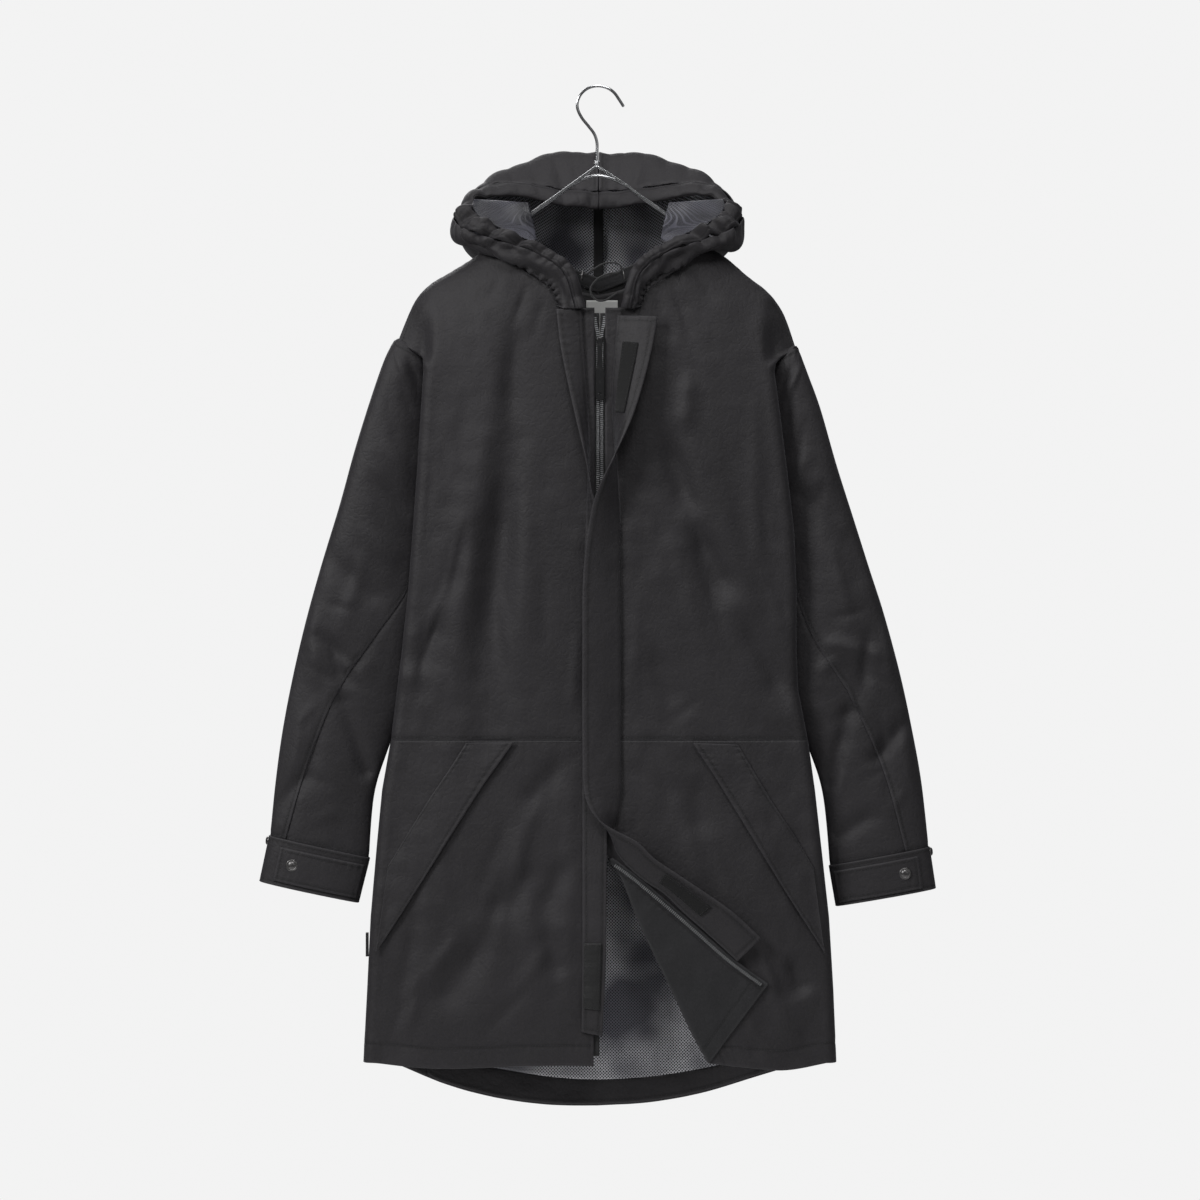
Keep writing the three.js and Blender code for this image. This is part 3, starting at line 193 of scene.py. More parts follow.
BACK_TOP = {
    "left": [
        (-1, -237), (-28, -230), (-60, -212), (-90, -191), (-113, -172.5), (-131, -187),
        (-148, -200), (-171, -214), (-194, -228), (-212, -249), (-233, -289),
    ],
    "right": [
        (-1, -237), (28, -230), (60, -212), (90, -191), (113, -173.5), (131, -187), (148, -198),
        (171, -218), (194, -236), (212, -260), (227, -290),
    ],
}

BACK_HEM = {
    "left": [
        (-1, -1176), (-58, -1175), (-118, -1167), (-178, -1151), (-237, -1126), (-257, -1119),
    ],
    "right": [
        (-1, -1176), (61, -1172), (121, -1161), (181, -1143), (233, -1127), (260, -1120),
    ],
}

FACING_TOP = [
    (-198, -1112), (-166, -1123), (-118, -1133), (-58, -1142.5), (-4, -1146), (61, -1142.5),
    (121, -1133), (162, -1123), (198, -1112),
]

FACING_LOW = [
    (-198, -1139), (-178, -1148.5), (-118, -1164.5), (-58, -1172.5), (-4, -1173.5), (61, -1169.5),
    (121, -1158.5), (181, -1140.5), (198, -1135),
]

POCKETS = {
    "left": {
        "sewn": [(-151, -753), (-168, -780), (-195, -820), (-221, -862), (-240, -893)], 
        "free": [(-97, -752), (-132, -801), (-168, -857), (-203, -913), (-237, -966), (-254, -992)]},
    "right": {
        "sewn": [(159, -755), (194, -814), (225, -861), (245, -895)], 
        "free": [(108, -753), (135, -794), (178, -864), (217, -928), (243, -968), (258, -992)]},
}

STORM_FLAP = table("sx sz fx fz lift", [
    (22, -265, 67, -267, 9), (19, -300, 60, -305, 17), (16, -340, 50, -345, 24),
    (16, -380, 37, -385, 31), (19, -420, 19, -424, 32), (22, -458, 1, -460, 27),
    (24, -495, -9, -495, 18), (24, -560, -17, -562, 12), (25, -650, -18, -650, 11),
    (25, -740, -18, -740, 11), (25, -800, -17, -797, 12), (22, -830, -12, -822, 14),
    (17, -852, -1, -838, 17), (19, -872, 16, -850, 19), (30, -889, 44, -865, 18),
    (51, -908, 64, -884, 16), (75, -924, 92, -903, 15), (97, -945, 119, -921, 14),
    (123, -968, 153, -945, 13), (158, -1000, 184, -974, 11),
])

UNDER_FLAP = table("sx sz fx fz lift", [
    (-19, -258, -48, -258, 4), (-17, -300, -43, -300, 6), (-14, -345, -34, -345, 9),
    (-12, -385, -25, -385, 13), (-11, -425, -15, -427, 17), (-12, -460, -8, -462, 15),
    (-14, -500, 1, -500, 8), (-16, -560, 8, -560, 4), (-17, -680, 10, -680, 3.5),
    (-18, -800, 10, -800, 3.5), (-18, -900, 9, -900, 3.5), (-18, -1000, 8, -1000, 4),
    (-19, -1082, 4, -1086, 4),
])

CORNER = {
    "fold": [
        (12, -886), (29, -912), (50, -964), (81, -1028), (107, -1082), (126, -1118),
    ],
    "zip": [
        (16, -884), (40, -901), (75, -930), (112, -962), (152, -997), (193, -1027),
    ],
}

LAPEL = table("fx fy fz", [
    (-81, -5, -133), (-77, -8, -148), (-74, -11, -162), (-72, -18, -175),
])

CORD_PATH = [
    (-21.2, -46.9, -219), (-15.5, -48.5, -219), (-6, -52, -213.5), (4, -54, -207.5),
    (14, -54.5, -205.5), (23, -54.5, -207.5), (26.6, -54.5, -212.5), (22, -54.5, -217),
    (13, -54.5, -218), (4, -54.5, -221), (-4, -54.5, -227), (-9, -54, -235), (-7.5, -53.5, -243),
    (-1, -53, -248.5), (7, -52, -248.5), (14, -49.5, -244.5), (20.5, -45.5, -240),
]

HOOK_PATH = [
    (-1.7, 0, -84.5), (-1.7, 0, -74), (-1.9, 0, -63), (-5, 0, -53.5), (-11.6, 0, -44.5),
    (-19.5, 0, -34.5), (-24.2, 0, -24), (-24, 0, -15.5), (-19.4, 0, -6.6), (-11, 0, -0.3),
    (0, 0, 1.8), (10.3, 0, -0.6), (17.9, 0, -6), (23.7, 0, -14), (28.5, 0, -21.5),
]

TABS = {
    "left": {"from": 0.02, "to": 0.68, "upper": 0.22, "lower": 0.86, "snap": 0.585},
    "right": {"from": 0.02, "to": 0.66, "upper": 0.2, "lower": 0.88, "snap": 0.53},
}

# Finer creases than the solids have: each lies along a line, with a width and a height.
FRONT_CREASES = table("x0 z0 x1 z1 wide deep", [
    (-60, -236, -78, -300, 5, -1.6), (-78, -222, -104, -292, 5, -1.8),
    (-100, -200, -136, -262, 6, -1.5), (62, -238, 84, -300, 5, -1.6), (80, -226, 112, -300, 5, -1.8),
    (102, -202, 142, -262, 6, -1.5), (-120, -560, -88, -700, 8, 2.0),
    (-60, -520, -66, -690, 10, -1.6), (-190, -420, -196, -520, 7, -2.0),
    (-178, -640, -120, -735, 7, -2.4), (-205, -600, -215, -720, 6, 2.2),
    (-150, -330, -160, -430, 9, -1.4), (60, -450, 138, -690, 9, 2.0), (96, -500, 178, -720, 7, -1.6),
    (130, -360, 182, -560, 11, -1.6), (178, -440, 200, -560, 7, -2.2), (186, -560, 220, -640, 6, 2.2),
    (120, -700, 66, -742, 7, -1.8), (-50, -770, -96, -900, 8, 1.8), (-96, -820, -150, -960, 8, -2.0),
    (-30, -940, -110, -1070, 9, 2.4), (-150, -960, -212, -1040, 7, 2.4),
    (-60, -1010, -140, -1096, 8, -2.4), (-190, -1010, -240, -1090, 7, -2.0),
    (70, -770, 84, -850, 9, -1.8), (176, -960, 226, -1060, 8, -2.4), (150, -1030, 190, -1100, 7, 2.0),
    (196, -900, 240, -1000, 7, 1.8), (-24, -600, -30, -740, 6, 1.4), (44, -560, 40, -740, 7, 1.4),
    (-110, -270, -150, -600, 18, 4.5), (-150, -420, -160, -790, 18, 5.0),
    (-92, -250, -112, -620, 27, -7.0), (-106, -440, -130, -830, 28, -8.0),
    (-152, -478, -182, -616, 4.5, 2.2), (-170, -560, -228, -714, 5, 2.4),
    (-142, -480, -172, -616, 8, -1.6), (70, -300, 190, -640, 16, 3.5),
    (56, -330, 176, -720, 15, -3.5), (150, -590, 214, -735, 10, 3.0), (176, -330, 184, -600, 10, 3.0),
    (-70, -800, -140, -1040, 11, 4.5), (-84, -840, -160, -1080, 10, -4.0),
    (90, -800, 130, -980, 12, 3.5), (-200, -1000, -226, -1104, 9, 4.0),
    (176, -960, 226, -1116, 9, 4.0), (-30, -770, -40, -1120, 12, 3.0),
    (-104, -790, -60, -1100, 13, 3.5), (-200, -900, -236, -1110, 10, -3.5),
    (120, -830, 196, -1110, 10, 3.0),
])
BACK_CREASES = table("x0 z0 x1 z1 wide deep", [
    (-60, -260, -90, -420, 9, -1.8), (64, -262, 96, -420, 9, -1.8),
    (-180, -360, -150, -600, 10, -2.4), (182, -380, 150, -620, 10, -2.4),
    (-40, -520, -70, -760, 12, 2.2), (50, -560, 66, -800, 12, 2.2),
    (-150, -760, -190, -1000, 10, 2.2), (150, -800, 170, -1060, 10, -2.2),
    (-20, -820, -8, -1120, 12, -2.0),
])
SLEEVE_CREASES = table("x0 z0 x1 z1 wide deep", [
    (-230, -330, -212, -390, 5, -1.8), (-246, -350, -226, -430, 6, -1.8),
    (-268, -420, -240, -520, 7, -1.6), (-320, -590, -270, -606, 5, -2.0),
    (-338, -660, -292, -690, 6, -2.2), (-300, -640, -268, -706, 5, 1.8),
    (-352, -740, -318, -700, 6, 2.0), (-346, -780, -300, -812, 6, -1.8),
    (-330, -850, -296, -826, 6, 2.0), (224, -340, 214, -400, 5, -1.8),
    (242, -372, 222, -440, 6, -1.8), (262, -440, 238, -530, 7, -1.6), (314, -600, 262, -612, 5, -2.0),
    (340, -690, 300, -668, 6, -2.2), (330, -740, 292, -700, 6, 2.0), (300, -800, 340, -776, 6, -2.0),
    (356, -800, 330, -840, 6, 1.8), (284, -770, 270, -840, 5, 1.8), (-236, -300, -214, -352, 4, 3.0),
    (-222, -304, -204, -350, 4, -3.0), (-330, -584, -324, -700, 9, 5.5),
    (-312, -620, -286, -716, 8, -5.5), (-262, -520, -300, -640, 8, 3.0),
    (-340, -700, -356, -820, 9, 4.0), (-318, -720, -336, -830, 8, -3.5),
    (-250, -400, -206, -470, 10, 3.5), (-262, -440, -212, -505, 9, -3.5),
    (-276, -500, -222, -560, 9, 3.0), (-300, -640, -250, -676, 8, 3.0),
    (-306, -660, -262, -700, 7, -3.0), (246, -410, 206, -480, 10, 3.5),
    (262, -450, 214, -520, 9, -3.5), (286, -650, 240, -680, 8, 3.0), (300, -700, 262, -740, 7, -3.0),
    (236, -312, 214, -360, 4, 3.0), (224, -316, 204, -362, 4, -3.0), (330, -590, 336, -700, 9, 5.5),
    (312, -610, 300, -716, 8, -5.5), (262, -520, 296, -640, 8, 3.0), (346, -700, 362, -826, 9, 4.0),
    (322, -716, 338, -830, 8, -3.5),
])
RUMPLES = table("along_x along_z phase high", [
    (0.052, 0.009, 0.3, 0.30), (0.031, -0.013, 1.9, 0.42), (-0.024, 0.021, 4.1, 0.42),
    (0.071, 0.018, 2.2, 0.16), (0.094, -0.012, 5.3, 0.10), (-0.061, 0.030, 0.9, 0.14),
    (0.017, 0.043, 3.3, 0.34), (0.012, -0.055, 2.7, 0.20),
])
RUMPLE_PATCH = 0.011
RUMPLE_LONG = 1.6
CREASE_TAPER = 0.45
FOLD_TAPER = 0.35
FINE_SHARE = 0.8


def smooth(value):
    """A step from 0 to 1 with level ends."""
    v = np.clip(value, 0, 1)
    return v * v * (3 - 2 * v)


def lerp(a, b, t):
    """The value a share t of the way from a to b."""
    return a + (b - a) * t


def along(values, t):
    """A smooth curve through evenly spaced values, at shares t from 0 to 1: a cubic through four."""
    values = np.asarray(values, float)
    count = len(values)
    place = np.clip(np.asarray(t, float), 0, 1) * (count - 1)
    i = np.minimum(count - 2, place.astype(int))
    f = place - i
    if values.ndim > 1:
        f = f.reshape(f.shape + (1,) * (values.ndim - 1))
    a, b, c, d = (values[np.clip(i + k, 0, count - 1)] for k in (-1, 0, 1, 2))
    return 0.5 * (2 * b + (c - a) * f + (2 * a - 5 * b + 4 * c - d) * f**2 + (3 * b - a - 3 * c + d) * f**3)


def column(rows, key, value, name):
    """A column of a table at a value of its key column, straight between rows."""
    keys = rows[key]
    order = np.argsort(keys)
    return np.interp(value, keys[order], rows[name][order])


def folds_at(folds, x, z, taper=0.0):
    """How far folds move the cloth: the height of each times a bell curve of the way to its line. A
    taper is the share of a fold's length over which it rises at either end, narrower at its start."""
    total = np.zeros(np.broadcast(x, z).shape)
    for x0, z0, x1, z1, wide, deep in zip(*(folds[k] for k in ("x0", "z0", "x1", "z1", "wide", "deep"))):
        lx = x1 - x0
        lz = z1 - z0
        t = np.clip(((x - x0) * lx + (z - z0) * lz) / (lx * lx + lz * lz), 0, 1)
        d2 = (x - x0 - t * lx) ** 2 + (z - z0 - t * lz) ** 2
        held = smooth(t / taper) * smooth((1 - t) / taper) if taper else 1.0
        spread = wide * (0.7 + 0.6 * t) if taper else wide
        total += deep * held * np.exp(-d2 / spread**2)
    return total


def rumple(x, z, shift=0.0):
    """Slight unevenness of hanging cloth: eight long waves, strong in some patches and weak in others."""
    total = 0.0
    for kx, kz, phase, high in zip(*(RUMPLES[k] for k in ("along_x", "along_z", "phase", "high"))):
        total = total + high * np.sin(2 * math.pi * (kx * x + kz * z) / RUMPLE_LONG + phase + shift)
    along_one = np.sin(RUMPLE_PATCH * (1.7 * x + z) + shift)
    along_other = np.sin(RUMPLE_PATCH * (x - 1.3 * z) + 2 * shift)
    return total * (0.55 + 0.45 * along_one * along_other)


def sided(x, rows, key, value):
    """A column for the left or the right, by the sign of x."""
    left = column(rows, key, value, "left")
    right = column(rows, key, value, "right")
    return np.where(x < 0, left, right)


LIP_AT_SHOULDER = 2.2
LIP_START_Z = -306
LIP_GROWS = 26


def below_shoulder(z):
    """The share, from 0 at the shoulder to 1, by which the armhole has opened at a height."""
    return smooth((LIP_START_Z - z) / LIP_GROWS)


def lip_radius(z):
    """The radius of the side fold, tight at the shoulder and full below it."""
    return lerp(LIP_AT_SHOULDER, LIP_RADIUS, below_shoulder(z))


def shoulder_z(x):
    """The height of the shoulder seam at a distance from the middle."""
    return sided(x, SHOULDER, "out", np.abs(x))


def under_shoulder(x, z):
    """The share of the full depth that a point has under the rounded shoulder: a quarter circle."""
    h = np.clip((shoulder_z(x) - z) / SHOULDER_ROUND, 0, 1)
    return np.sqrt(h * (2 - h))


CROWN_TOP = -334
CROWN_WIDE = 70
CROWN_FALL = 0.14
DEPTH_STEPS = (-48, -32, -16, 0, 16, 32, 48)
TUCK_X = 186
TUCK_WIDE = 16
TUCK_TOP = -236
TUCK_TALL = 60
TUCK_FOOT = -322
TUCK_ENDS = 14
TUCK_DEPTH = 12
NECK_Z = -236
NECK_TALL = 50
NECK_WIDE = 80
NECK_FLATTER = 0.18


def armhole_tuck(x, z):
    """Where the cloth lies flatter, beside the top of the armhole: a smooth step out and two down."""
    out = smooth((np.abs(x) - TUCK_X) / TUCK_WIDE)
    return out * smooth((TUCK_TOP - z) / TUCK_TALL) * smooth((z - TUCK_FOOT) / TUCK_ENDS)


def body_depth(x, z, face):
    """The front's or back's depth: its table, less towards the side folds and beside the armhole's top."""
    below = np.minimum(z, CROWN_TOP)
    edge = np.abs(sided(x, BODY, "z", below)) - lip_radius(below)
    crown = 1 - CROWN_FALL * smooth((np.abs(x) - edge + CROWN_WIDE) / CROWN_WIDE)
    deep = sum(column(BODY, "z", z + step, face) for step in DEPTH_STEPS) / len(DEPTH_STEPS)
    return lerp(deep * crown, TUCK_DEPTH, armhole_tuck(x, z))


def front_y(x, z):
    """The front as a height over the X-Z plane: its depth, folds and creases under the shoulder."""
    share = under_shoulder(x, z)
    fine = folds_at(FRONT_CREASES, x, z, CREASE_TAPER) + FINE_SHARE * rumple(x, z)
    folds = folds_at(FRONT_FOLDS, x, z, FOLD_TAPER)
    return -SEAM_Y - share * (body_depth(x, z, "front") + folds + fine)


def back_y(x, z):
    """The back as a height over the X-Z plane, a little flatter under the neck."""
    share = under_shoulder(x, z)
    neck = 1 - NECK_FLATTER * np.exp(-(((z - NECK_Z) / NECK_TALL) ** 2) - (x / NECK_WIDE) ** 2)
    fine = folds_at(BACK_CREASES, x, z, CREASE_TAPER) + FINE_SHARE * rumple(x, z, 1.1)
    depth = body_depth(x, z, "back") * lerp(neck, 1, armhole_tuck(x, z))
    return SEAM_Y + share * (depth + folds_at(BACK_FOLDS, x, z, FOLD_TAPER) + fine)


# Meshes.


def steps(count):
    """Even shares from 0 to 1, in a number of steps."""
    return np.linspace(0, 1, count + 1)


def raised(x, y, z):
    """Points from their three coordinates, spread over one shape."""
    return np.stack(np.broadcast_arrays(x, y, z), axis=-1).astype(float)


def unit(v):
    """Directions one long."""
    return v / np.maximum(np.linalg.norm(v, axis=-1, keepdims=True), 1e-9)


def normals(grid, ring=False):
    """The direction square to a grid of points, from the ways to its neighbours."""
    if ring:
        wide = np.concatenate([grid[-2:-1], grid, grid[1:2]])
        across = wide[2:] - wide[:-2]
    else:
        across = np.gradient(grid, axis=0)
    return unit(np.cross(across, np.gradient(grid, axis=1)))


def lengths(grid, axis):
    """How far each point lies from the first one, measured on the cloth."""
    step = np.linalg.norm(np.diff(grid, axis=axis), axis=-1)
    start = np.zeros_like(np.take(step, [0], axis=axis))
    return np.cumsum(np.concatenate([start, step], axis=axis), axis=axis)


def from_edges(grid):
    """The way to each of a grid's four edges, on the cloth."""
    across = lengths(grid, 0)
    down = lengths(grid, 1)
    return {"start": across, "end": across[-1:] - across, "top": down, "foot": down[:, -1:] - down}


WELD = 1e-6
EDGE_BULGE = 0.3


def add_mesh(name, points, faces, material, uv=None, marks=None, welded=False):
    """A mesh object in metres, with its cloth lengths as UV in metres and its marks as attributes. A
    welded one has its points that fall together joined, so that its seam and its ends are closed."""
    mesh = bpy.data.meshes.new(name)
    points = np.asarray(points, float).reshape(-1, 3) * MM
    mesh.from_pydata(points, [], faces)
    corners = np.empty(len(mesh.loops), np.int32)
    mesh.loops.foreach_get("vertex_index", corners)
    if uv is not None:
        layer = mesh.uv_layers.new(name="cloth")
        layer.uv.foreach_set("vector", (uv.reshape(-1, 2)[corners] * MM).astype(np.float32).ravel())
    for key, values in (marks or {}).items():
        attribute = mesh.attributes.new(key, "FLOAT", "POINT")
        attribute.data.foreach_set("value", values.astype(np.float32).ravel())
    if welded:
        work = bmesh.new()
        work.from_mesh(mesh)
        bmesh.ops.remove_doubles(work, verts=work.verts, dist=WELD)
        work.to_mesh(mesh)
        work.free()
    mesh.shade_smooth()
    mesh.materials.append(material)
    made = bpy.data.objects.new(name, mesh)
    bpy.context.scene.collection.objects.link(made)
    return made


def grid_faces(nu, nv, first=0):
    """The four-sided faces between the points of a grid, nu by nv, from a first number on."""
    i, j = np.meshgrid(np.arange(nu - 1), np.arange(nv - 1), indexing="ij")
    a = first + i * nv + j
    return np.stack([a, a + nv, a + nv + 1, a + 1], axis=-1).reshape(-1, 4)


def wall(name, grid, thick, material, marks, ring=False):
    """Cloth of even thickness on both sides of a grid, with an edge rounded by a middle row."""
    nu, nv = grid.shape[:2]
    n = normals(grid, ring)
    uv = np.stack([lengths(grid, 0), lengths(grid, 1)], axis=-1)
    around = [(i, 0) for i in range(nu)] + [(nu - 1, j) for j in range(1, nv)]
    around += [(i, nv - 1) for i in range(nu - 2, -1, -1)] + [(0, j) for j in range(nv - 2, 0, -1)]
    ei, ej = np.array(around).T
    inside = grid[ei if ring else np.clip(ei, 1, nu - 2), np.clip(ej, 1, nv - 2)]
    joined = ring & ((ei == 0) | (ei == nu - 1)) & (ej > 0) & (ej < nv - 1)
    bulge = np.where(joined, 0, EDGE_BULGE * thick)
    middle = grid[ei, ej] + unit(grid[ei, ej] - inside) * bulge[:, None]
    half = n * thick / 2
    points = np.concatenate([(grid + half).reshape(-1, 3), (grid - half).reshape(-1, 3), middle])
    outer = grid_faces(nu, nv)
    inner = grid_faces(nu, nv, nu * nv)[:, ::-1]
    loop = ei * nv + ej
    after = np.roll(loop, -1)
    mid = 2 * nu * nv + np.arange(len(loop))
    mid_after = np.roll(mid, -1)
    rim = np.concatenate([
        np.stack([after, loop, mid, mid_after], axis=-1),
        np.stack([mid_after, mid, loop + nu * nv, after + nu * nv], axis=-1),
    ])
    full_uv = np.concatenate([uv.reshape(-1, 2), uv.reshape(-1, 2), uv[ei, ej]])
    full_marks = {k: np.concatenate([v.ravel(), v.ravel(), v[ei, ej]]) for k, v in marks.items()}
    return add_mesh(name, points, np.concatenate([outer, inner, rim]), material, full_uv, full_marks)


STITCHES = []
STITCH_STEP = 3.4
STITCH_LONG = 2.3
STITCH_THICK = 0.55
STITCH_SIDES = 5
STITCH_STATIONS = ((-0.5, 0.25, -0.35), (-0.25, 0.9, 0.0), (0.25, 0.9, 0.0), (0.5, 0.25, -0.35))
STITCH_CLEAR = 0.05
PUCKER_STEP = 8.5
PUCKER_WIDE = 7
GROOVE_WIDE = 1.9
GROOVE_SHARE = 0.9
SEAM_SHADE_WIDE = 1.3
WORN_WIDE = 1.8


def stitch_line(grid, n, side, inset):
    """The line on the cloth at one distance from an edge."""
    reach = from_edges(grid)[side]
    flip = {"start": False, "end": True, "top": False, "foot": True}[side]
    turn = side in ("top", "foot")
    g = np.swapaxes(grid, 0, 1) if turn else grid
    m = np.swapaxes(n, 0, 1) if turn else n
    r = reach.T if turn else reach
    if flip:
        g, m, r = g[::-1], m[::-1], r[::-1]
    k = np.argmax(r >= inset, axis=0)
    k = np.maximum(k, 1)
    cols = np.arange(r.shape[1])
    f = ((inset - r[k - 1, cols]) / np.maximum(r[k, cols] - r[k - 1, cols], 1e-6))[:, None]
    return lerp(g[k - 1, cols], g[k, cols], f), lerp(m[k - 1, cols], m[k, cols], f)


def sew(grid, outward, seams, thick, seed):
    """Seams on a piece, each with its edge, the way in from it and the height of its puckers. Along
    each, the cloth dips in a narrow groove and puckers beside it in waves of uneven length that die
    out within a finger's width. Returns the moved grid and its marks: a seam mark that paints shade
    into each seam's groove, and a worn mark along the edges."""
    reach = from_edges(grid)
    n = normals(grid)
    facing = np.sign((n * outward).sum(axis=-1).mean()) or 1
    n = n * facing
    off = np.zeros(grid.shape[:2])
    seam = np.zeros(grid.shape[:2])
    for k, (side, inset, deep) in enumerate(seams):
        d = reach[side] - inset
        s = reach["top"] if side in ("start", "end") else reach["start"]
        phase = 1.7 * seed + 2.3 * k
        waves = np.sin(2 * math.pi * s / PUCKER_STEP + 1.9 * np.sin(s / 17 + phase) + phase)
        strength = 0.6 + 0.4 * np.sin(s / 31 + 2 * phase)
        groove = -GROOVE_SHARE * deep * np.exp(-((d / GROOVE_WIDE) ** 2))
        off += groove + deep * waves * strength * np.exp(-((d / PUCKER_WIDE) ** 2))
        # The seam mark paints shade into each seam's groove, darkest on its line.
        seam = np.maximum(seam, np.exp(-((d / SEAM_SHADE_WIDE) ** 2)))
    grid = grid + n * off[..., None]
    near = np.minimum.reduce([reach[k] for k in ("start", "end", "top", "foot")])
    for side, inset, deep in seams:
        line, direction = stitch_line(grid, n, side, inset)
        STITCHES.append((line + direction * (thick / 2 + STITCH_CLEAR), direction))
    return grid, {"seam": seam, "worn": np.exp(-((near / WORN_WIDE) ** 2))}


def sewing(material):
    """Every stitch of the topstitching: a short thread, thick in the middle, every few millimetres."""
    n = STITCH_SIDES
    ring = np.array([(math.cos(a), math.sin(a)) for a in np.linspace(0, 2 * math.pi, n + 1)[:-1]])
    points = []
    faces = []
    for line, direction in STITCHES:
        far = lengths(line[:, None], 0)[:, 0]
        count = int(far[-1] / STITCH_STEP)
        if count < 2:
            continue
        at = (np.arange(count) + 0.5) * STITCH_STEP
        p = np.stack([np.interp(at, far, line[:, k]) for k in range(3)], axis=-1)
        way = unit(np.stack([np.interp(at + 0.5, far, line[:, k]) for k in range(3)], axis=-1) - p)
        up = unit(np.stack([np.interp(at, far, direction[:, k]) for k in range(3)], axis=-1))
        side = np.cross(way, up)
        for c in range(count):
            first = len(points) * n * len(STITCH_STATIONS)
            circle = STITCH_THICK / 2 * (ring[:, :1] * side[c] + ring[:, 1:] * up[c])
            stitch = []
            for place, wide, sink in STITCH_STATIONS:
                middle = p[c] + way[c] * place * STITCH_LONG + up[c] * sink * STITCH_THICK
                stitch.append(middle + wide * circle)
            points.append(np.concatenate(stitch))
            faces.append(first)
    base = [
        (n * s + k, n * s + (k + 1) % n, n * s + n + (k + 1) % n, n * s + n + k)
        for s in range(len(STITCH_STATIONS) - 1) for k in range(n)
    ]
    all_faces = (np.array(faces)[:, None, None] + np.array(base)[None]).reshape(-1, 4)
    return add_mesh("topstitching", np.concatenate(points), all_faces, material)


def patch(top, bottom, inner, outer, ss, ts):
    """A patch between four edges, each a function of a share that gives x and z: each pair of facing
    edges is blended, and the blend of the four corners is taken off once."""
    s = ss[:, None, None]
    t = ts[None, :, None]
    up, low = top(ss)[:, None], bottom(ss)[:, None]
    near, far = inner(ts)[None], outer(ts)[None]
    corners = lerp(
        lerp(top(np.zeros(1)), top(np.ones(1)), s), lerp(bottom(np.zeros(1)), bottom(np.ones(1)), s), t
    )
    return lerp(up, low, t) + lerp(near, far, s) - corners


def path2(points):
    """A curve in x and z through points, as a function of a share."""
    return lambda t: along(points, t)


def straight2(a, b):
    """A straight line in x and z, as a function of a share."""
    return lambda t: lerp(np.array(a, float), np.array(b, float), t[:, None])


def side_edge(name, sign, z0, z1):
    """Where a panel's face ends and its side fold starts, at each height."""

    def edge(t):
        z = lerp(z0, z1, t)
        fold = column(BODY, "z", z, name)
        return np.stack([fold - sign * lip_radius(z), z], axis=-1)

    return edge


def piece(name, grid, thick, material, outward, seams=(), ring=False, seed=0.0):
    """A cloth piece that stands for the CAD node of the same name."""
    grid, marks = sew(grid, outward, seams, thick, seed)
    made = wall(name + "_cloth", grid, thick, material, marks, ring)
    finish_piece(made, name)
    return made


def finish_piece(made, node):
    """Says which body a piece rides on, and hides the CAD node that it stands for."""
    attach(made, "parka")
    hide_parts(node)


FRONT_WAY = np.array([0.0, -1.0, 0.0])
BACK_WAY = np.array([0.0, 1.0, 0.0])
LIP_STEPS = 10
SHOULDER_END = 207
SHOULDER_FADE = 12
SHOULDER_CLOSE = 22
ARMPIT_LAP = 6
ARMPIT_FADE = 14
ARMHOLE_LAP = 1.5
FRONT_START_Z = -256
PANEL_FOOT_Z = -1118
BACK_MIDDLE = ((-1, -237), (-1, -1176))
FACING_IN = 3.3
LINING_TOP = -800
LINING_HALF = 198
LINING_OFF = 4.6
LINING_SLACK = 0.72
ARMHOLE_TOP = {"left": -291, "right": -298}
WAIST_SEAM = 3.0
HEM_WIDE = 23.0


def with_lip(cells, sign, face):
    """A panel's points, raised to the body, with the half round of the side fold and the wall under
    the arm that runs on from it to the side seam."""
    name = "left" if sign < 0 else "right"
    height = front_y if face < 0 else back_y
    x, z = cells[..., 0], cells[..., 1]
    grid = raised(x, height(x, z), z)
    if z.max() > ARMPIT_Z:
        near_end = smooth((np.abs(x[:, :1]) - SHOULDER_END + SHOULDER_FADE) / SHOULDER_FADE)
        sewn = near_end * (1 - smooth(lengths(grid, 1) / SHOULDER_CLOSE))
        grid[..., 1] = lerp(grid[..., 1], face * SEAM_Y, sewn)
    last = grid[-1]
    fold = column(BODY, "z", last[:, 2], name)
    r = lip_radius(last[:, 2])
    turns = []
    for a in np.linspace(0, math.pi, LIP_STEPS + 1)[1:]:
        out = fold - sign * r * (1 - math.sin(a))
        turns.append(raised(out, last[:, 1] - face * r * (1 - math.cos(a)), last[:, 2]))
    end = turns[-1]
    closed = smooth((ARMPIT_Z + ARMPIT_LAP - end[:, 2]) / ARMPIT_FADE)
    opened = SLEEVE_Y + face * ARMHOLE_HALF
    armhole = lerp(end[:, 1] - face * ARMHOLE_LAP, opened, below_shoulder(end[:, 2]))
    y = lerp(armhole, SLEEVE_Y + face * SEAM_GAP, closed)
    for share in (0.33, 0.66, 1.0):
        turns.append(raised(end[:, 0], lerp(end[:, 1], y, share), end[:, 2]))
    return np.concatenate([grid, np.array(turns)])


